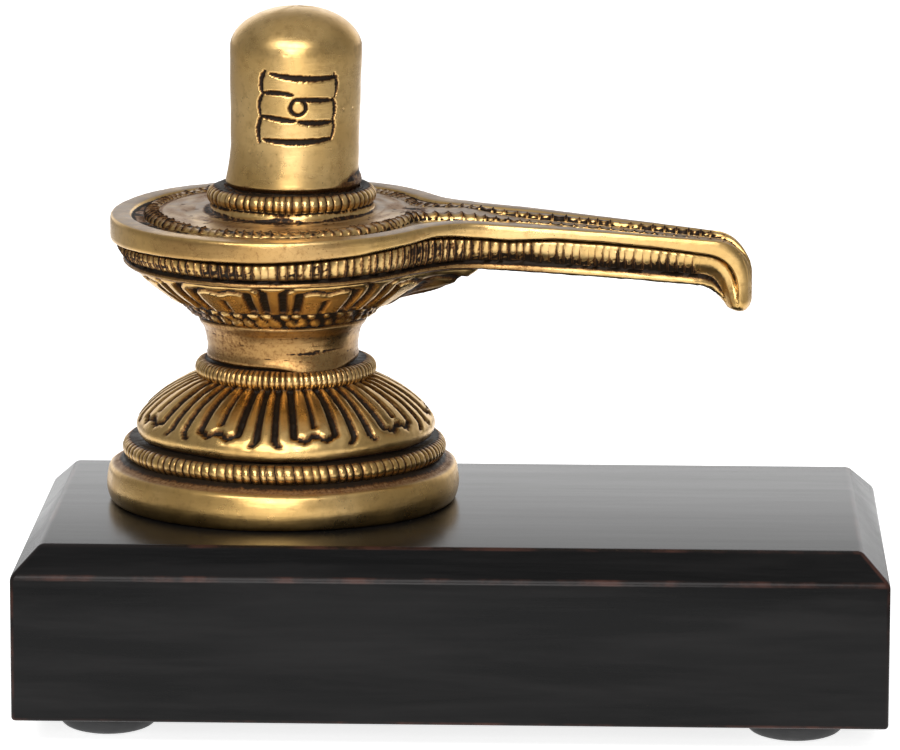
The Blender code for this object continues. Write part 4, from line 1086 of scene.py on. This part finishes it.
def build_plinth():
    """The wooden block with a chamfer round its top and softly rounded, slightly worn edges."""
    low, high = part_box("wooden_plinth")
    chamfer = PLINTH_CHAMFER * MM
    mesh = bpy.data.meshes.new("plinth_block")
    work = bmesh.new()
    bmesh.ops.create_cube(work, size=1.0)
    for corner in work.verts:
        for axis in range(3):
            corner.co[axis] = low[axis] if corner.co[axis] < 0 else high[axis]
    rim = [edge for edge in work.edges if all(abs(v.co.z - high.z) < 1e-6 for v in edge.verts)]
    bmesh.ops.bevel(work, geom=rim, offset=chamfer, segments=1, affect="EDGES")
    work.normal_update()
    flats = [(face.normal.copy(), face.calc_center_median()) for face in work.faces]
    bmesh.ops.bevel(work, geom=list(work.edges), offset=PLINTH_EDGE_ROUND * MM, segments=4, profile=0.5,
                    affect="EDGES")
    worn = [min(abs(normal.dot(corner.co - centre)) for normal, centre in flats) for corner in work.verts]
    work.to_mesh(mesh)
    work.free()
    mesh.shade_smooth()
    add_tone(mesh, "edge", np.clip(np.array(worn) / (EDGE_REACH * MM), 0.0, 1.0))
    return add_object("plinth_block", mesh)


FOOT_SIDES = 96


def build_rubber_foot(node):
    """A turned rubber foot with a rounded tread and a shallow dish for its screw."""
    low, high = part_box(node)
    middle = (low + high) / 2
    radius = (high.x - low.x) / 2 / MM
    height = (high.z - low.z) / MM
    dish = [(0.001, 0.75), (1.5, 0.7), (1.7, 0.35), (1.95, 0.08)]
    tread = profile([(2.2, 0.0), (3.3, 0.0), (radius * 0.72, height * 0.1), (radius * 0.9, height * 0.28),
                     (radius, height * 0.6), (radius, height - 0.25), (radius - 0.25, height)], 20)
    rows = np.concatenate([dish, tread, [(0.001, height)]])
    angles = np.arange(FOOT_SIDES) * 2 * math.pi / FOOT_SIDES
    grid = np.stack([rows[:, :1] * np.cos(angles), rows[:, :1] * np.sin(angles), rows[:, 1:] + 0.0 * angles],
                    axis=-1)
    corners = grid.reshape(-1, 3) * MM + np.array([middle.x, middle.y, low.z])
    numbers = np.arange(len(corners)).reshape(len(rows), FOOT_SIDES)
    following = np.roll(numbers, -1, axis=1)
    faces = np.stack([numbers[:-1], following[:-1], following[1:], numbers[1:]], axis=-1).reshape(-1, 4)
    mesh = bpy.data.meshes.new(node + "_rubber")
    mesh.from_pydata(corners.tolist(), [], faces.tolist())
    work = bmesh.new()
    work.from_mesh(mesh)
    bmesh.ops.remove_doubles(work, verts=work.verts, dist=0.00001)
    bmesh.ops.recalc_face_normals(work, faces=work.faces)
    work.to_mesh(mesh)
    work.free()
    mesh.shade_smooth()
    mesh.set_sharp_from_angle(angle=math.radians(40))
    return add_object(node + "_rubber", mesh)


class Nodes:
    """A few lines of help for writing the nodes of a material or a world."""

    def __init__(self, owner, surface="Principled BSDF", place="Object"):
        owner.use_nodes = True
        self.owner = owner
        self.tree = owner.node_tree
        self.surface = self.tree.nodes[surface]
        self.place = self.node("ShaderNodeTexCoord")[place]

    def node(self, kind, inputs=None, **settings):
        """Add a node, set its properties, feed or set its inputs by name, and return its outputs."""
        made = self.tree.nodes.new(kind)
        for name, value in settings.items():
            setattr(made, name, value)
        for name, value in (inputs or {}).items():
            self.link(value, made.inputs[name])
        return made.outputs

    def link(self, source, target):
        """Feed a socket, or set it when the source is a plain value."""
        if hasattr(source, "is_linked"):
            self.tree.links.new(source, target)
        else:
            target.default_value = source

    def stretched(self, scale):
        """Object coordinates, stretched along the axes."""
        return self.node("ShaderNodeMapping", {"Vector": self.place, "Scale": scale})["Vector"]

    def noise(self, scale, detail=4.0, roughness=0.55, vector=None, distortion=0.0):
        """Noise from 0 to 1."""
        inputs = {"Vector": vector or self.place, "Scale": scale, "Detail": detail, "Roughness": roughness,
                  "Distortion": distortion}
        return self.node("ShaderNodeTexNoise", inputs)["Fac"]

    def cells(self, scale):
        """Distance to the nearest of scattered points."""
        return self.node("ShaderNodeTexVoronoi", {"Vector": self.place, "Scale": scale})["Distance"]

    def tone(self, name):
        """A number stored at the mesh's points."""
        return self.node("ShaderNodeAttribute", attribute_name=name)["Fac"]

    def math(self, operation, first, second=0.0):
        """Arithmetic on two values."""
        return self.node("ShaderNodeMath", {0: first, 1: second}, operation=operation)[0]

    def times(self, first, second):
        """The product of two values."""
        return self.math("MULTIPLY", first, second)

    def plus(self, first, second):
        """The sum of two values."""
        return self.math("ADD", first, second)

    def minus(self, first, second):
        """The difference of two values."""
        return self.math("SUBTRACT", first, second)

    def split(self, vector):
        """The three parts of a vector, by name."""
        return self.node("ShaderNodeSeparateXYZ", {0: vector})

    def span(self, value, low, high, to_low=0.0, to_high=1.0):
        """Spread a range of values smoothly over another range."""
        inputs = {"Value": value, "From Min": low, "From Max": high, "To Min": to_low, "To Max": to_high}
        return self.node("ShaderNodeMapRange", inputs, interpolation_type="SMOOTHSTEP")["Result"]

    def mix(self, share, first, second):
        """Mix two colours."""
        pair = [(*one, 1.0) if isinstance(one, tuple) else one for one in (first, second)]
        inputs = {"Factor": share, "A": pair[0], "B": pair[1]}
        return self.node("ShaderNodeMix", inputs, data_type="RGBA")["Result"]

    def bump(self, height, distance, strength=1.0, ground=None):
        """Turn a height in metres into a normal, on top of the ground's own."""
        inputs = {"Distance": distance, "Strength": strength, "Height": height}
        if ground is not None:
            inputs["Normal"] = ground
        return self.node("ShaderNodeBump", inputs)["Normal"]

    def upward(self):
        """How far the surface faces up, from -1 to 1."""
        return self.split(self.node("ShaderNodeNewGeometry")["Normal"])["Z"]


def brass_material():
    """Satin antique brass with near-black patina in its recesses, painted shade on its neck and low on the
    bowl, and a grey bloom on its ledges.
    """
    s = Nodes(bpy.data.materials.new("antique_brass"))
    broad = s.noise(90.0, 3.0, 0.5)
    fine = s.noise(900.0, 5.0, 0.65)
    specks = s.cells(1500.0)
    clean = s.mix(s.span(broad, 0.35, 0.7), (0.63, 0.395, 0.136), (0.76, 0.515, 0.218))
    clean = s.mix(s.span(fine, 0.45, 0.75, 0.0, 0.55), clean, (0.42, 0.25, 0.085))

    dull_noise = s.noise(420.0, 6.0, 0.7)
    facing_up = s.span(s.upward(), 0.72, 0.95)
    bloom = s.times(facing_up, s.tone("dull"))
    bloom = s.times(bloom, s.span(dull_noise, 0.25, 0.6, 0.55, 1.0))
    greyed = s.mix(bloom, clean, (0.37, 0.295, 0.235))

    # The stored dark tone holds patina in hollows and painted shade on the neck and low on the bowl under the
    # spout
    stored = s.tone("dark")
    tanned = s.mix(s.span(stored, 0.02, 0.22, 0.0, 0.8), greyed, (0.30, 0.163, 0.060))
    recess = s.span(s.tone("hollow"), 0.18, 0.8)
    recess = s.times(recess, s.span(fine, 0.2, 0.6, 0.6, 1.0))
    recess = s.plus(recess, s.math("MINIMUM", stored, 0.0))
    patina_and_shade = s.math("MAXIMUM", stored, recess)
    grain = s.plus(s.times(fine, 0.5), s.noise(2600.0, 3.0, 0.7))
    broken = s.plus(patina_and_shade, s.times(s.minus(grain, 0.75), 0.95))
    brown_share = s.span(broken, 0.16, 0.52)
    black_share = s.span(broken, 0.42, 0.70)
    browned = s.mix(brown_share, tanned, (0.15, 0.062, 0.02))
    colour = s.mix(black_share, browned, (0.016, 0.010, 0.006))
    pits = s.times(s.span(specks, 0.16, 0.06), s.span(broad, 0.52, 0.66))
    colour = s.mix(s.times(pits, 0.8), colour, (0.06, 0.03, 0.012))
    s.link(colour, s.surface.inputs["Base Color"])

    metal = s.minus(1.0, s.times(black_share, 0.6))
    metal = s.minus(metal, s.times(bloom, 0.35))
    s.link(metal, s.surface.inputs["Metallic"])
    s.link(s.minus(0.5, s.times(black_share, 0.35)), s.surface.inputs["Specular IOR Level"])
    rough_clean = s.span(s.noise(260.0, 4.0, 0.6), 0.3, 0.7, 0.25, 0.36)
    roughness = s.plus(rough_clean, s.times(bloom, 0.22))
    roughness = s.plus(roughness, s.times(brown_share, 0.16))
    s.link(roughness, s.surface.inputs["Roughness"])

    scratches = s.noise(700.0, 3.0, 0.7, s.stretched((0.35, 0.35, 3.2)))
    dents = s.noise(210.0, 2.0, 0.5)
    dings = s.times(s.span(s.cells(330.0), 0.12, 0.03), s.span(broad, 0.5, 0.6))
    ground = s.bump(dents, 0.00016, 0.35)
    ground = s.bump(s.minus(1.0, dings), 0.0001, 0.7, ground)
    ground = s.bump(scratches, 0.00004, 0.6, ground)
    grit = s.times(fine, s.span(patina_and_shade, 0.1, 0.7, 0.15, 1.0))
    s.link(s.bump(grit, 0.00012, 0.6, ground), s.surface.inputs["Normal"])
    return s.owner


def wood_material():
    """Black-stained wood with a faint grain along the block and worn reddish edges."""
    s = Nodes(bpy.data.materials.new("black_stained_wood"))
    grain = s.noise(160.0, 6.0, 0.65, s.stretched((0.12, 1.6, 1.6)), 0.3)
    pores = s.noise(900.0, 3.0, 0.7, s.stretched((0.05, 1.0, 1.0)))
    colour = s.mix(s.span(grain, 0.35, 0.7), (0.003, 0.003, 0.0031), (0.0095, 0.009, 0.009))
    worn = s.times(s.tone("edge"), s.span(s.noise(130.0, 4.0, 0.6), 0.45, 0.65, 0.05, 0.8))
    colour = s.mix(worn, colour, (0.06, 0.024, 0.017))
    s.link(colour, s.surface.inputs["Base Color"])
    s.surface.inputs["Specular IOR Level"].default_value = 0.135
    s.link(s.span(grain, 0.3, 0.7, 0.21, 0.25), s.surface.inputs["Roughness"])
    ground = s.bump(grain, 0.00005, 0.2)
    s.link(s.bump(pores, 0.00003, 0.3, ground), s.surface.inputs["Normal"])
    return s.owner


def rubber_material():
    """Matte black rubber, slightly mottled."""
    s = Nodes(bpy.data.materials.new("black_rubber"))
    mottle = s.noise(600.0, 5.0, 0.6)
    s.link(s.mix(mottle, (0.007, 0.007, 0.0075), (0.02, 0.02, 0.021)), s.surface.inputs["Base Color"])
    s.link(s.span(mottle, 0.3, 0.7, 0.52, 0.68), s.surface.inputs["Roughness"])
    s.link(s.bump(s.noise(2600.0, 3.0, 0.6), 0.00004, 0.5), s.surface.inputs["Normal"])
    return s.owner


def dress(piece, material, slot, *nodes):
    """Give a piece its material, put it under the root body and hide the nodes that it stands for. The slot
    is not used.
    """
    piece.data.materials.append(material)
    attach(piece, "root")
    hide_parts(*nodes)


# Floor, in metres: its half size and height, the strength of its painted glow, where the painted pool of
# light ends, and its colour inside and outside the pool
FLOOR_HALF_SIZE = 6.0
FLOOR_Z = -0.0002
FLOOR_GLOW = 0.79
FLOOR_POOL = (0.095, 0.24)
FLOOR_POOL_TONES = ((0.9, 0.9, 0.9), (0.6, 0.6, 0.6))


def build_stage():
    """White floor with a painted pool of light: a wide strip that glows like a light table and is paler, with
    greyer floor outside it.
    """
    mesh = bpy.data.meshes.new("floor")
    half = FLOOR_HALF_SIZE
    corners = [(-half, -half, 0), (half, -half, 0), (half, half, 0), (-half, half, 0)]
    mesh.from_pydata(corners, [], [(0, 1, 2, 3)])
    floor = add_object("floor", mesh)
    floor.location.z = FLOOR_Z
    s = Nodes(bpy.data.materials.new("white_floor"))
    s.surface.inputs["Roughness"].default_value = 0.9
    # Painted light: a paler colour and a glow in the strip through the middle, fading out to grey
    aside = s.math("ABSOLUTE", s.split(s.place)["X"])
    s.link(s.mix(s.span(aside, *FLOOR_POOL), *FLOOR_POOL_TONES), s.surface.inputs["Base Color"])
    s.surface.inputs["Emission Color"].default_value = (1.0, 1.0, 1.0, 1.0)
    s.link(s.span(aside, *FLOOR_POOL, FLOOR_GLOW, 0.0), s.surface.inputs["Emission Strength"])
    mesh.materials.append(s.owner)


def softbox(name, place, target, size, power, tall=None):
    """A soft rectangular light that faces its target."""
    light = bpy.data.lights.new(name, "AREA")
    light.energy = power
    light.shape = "RECTANGLE"
    light.size = size
    light.size_y = tall or size
    lamp = add_object(name, light)
    lamp.location = place
    aim = Vector(target) - Vector(place)
    lamp.rotation_euler = aim.to_track_quat("-Z", "Y").to_euler()


# Brightness of the room at its darkest, and low behind the object, where it makes the background white
WORLD_SHADE = 0.30
WORLD_GLOW = 1.48


def build_light():
    """Soft studio light: two boxes in front, in a room that is darker overhead and at the sides."""
    softbox("front_high", (-0.2, -1.15, 1.05), (0.0, 0.0, 0.04), 1.5, 13.5, 0.5)
    softbox("front_low", (-0.1, -1.3, 0.42), (0.0, 0.0, 0.04), 0.7, 6.0, 0.35)
    world = bpy.data.worlds.new("surround")
    s = Nodes(world, "Background", "Generated")
    towards = s.split(s.place)
    ahead = s.times(s.span(towards["Y"], 0.55, 0.97), s.span(towards["Z"], 0.75, 0.25))
    glow = s.plus(s.times(ahead, WORLD_GLOW - WORLD_SHADE), WORLD_SHADE)
    s.surface.inputs["Color"].default_value = (1.0, 1.0, 1.0, 1.0)
    s.link(s.plus(glow, s.span(towards["Z"], 0.6, 0.95, 0.0, 0.2)), s.surface.inputs["Strength"])
    bpy.context.scene.world = world
    bpy.context.scene.view_settings.view_transform = "Standard"


# Camera solved from the photograph's edges, with heights from the ground
CAMERA_PLACE = (24.138, -812.842, 201.199)
CAMERA_YAW = 0.0308095
CAMERA_PITCH = 0.1908047
CAMERA_ROLL = 0.0027040
FOCAL_PIXELS = 6152.368
IMAGE_WIDTH = 900
SENSOR_WIDTH = 36.0


def build_camera():
    """The photograph's viewpoint."""
    data = bpy.data.cameras.new("camera")
    data.sensor_width = SENSOR_WIDTH
    data.lens = FOCAL_PIXELS / IMAGE_WIDTH * SENSOR_WIDTH
    data.clip_start = 0.01
    data.clip_end = 50.0
    forward = Vector((-math.sin(CAMERA_YAW) * math.cos(CAMERA_PITCH),
                      math.cos(CAMERA_YAW) * math.cos(CAMERA_PITCH), -math.sin(CAMERA_PITCH)))
    right = Vector((math.cos(CAMERA_YAW), math.sin(CAMERA_YAW), 0.0))
    up = right.cross(forward)
    level = right * math.cos(CAMERA_ROLL) + up * math.sin(CAMERA_ROLL)
    upright = up * math.cos(CAMERA_ROLL) - right * math.sin(CAMERA_ROLL)
    camera = add_object("camera", data)
    turn = Matrix((level, upright, -forward)).transposed()
    camera.matrix_world = Matrix.Translation(Vector(CAMERA_PLACE) * MM) @ turn.to_4x4()
    bpy.context.scene.camera = camera


build_camera()
build_stage()
build_light()

brass = build_brass()
dress(brass, brass_material(), "brass", "brass_shiva_lingam")
dress(build_plinth(), wood_material(), "wood", "wooden_plinth")
rubber = rubber_material()
for row in ("front", "back"):
    for side in ("left", "right"):
        node = f"rubber_foot_{row}_{side}"
        dress(build_rubber_foot(node), rubber, "rubber", node)

bpy.context.view_layer.update()
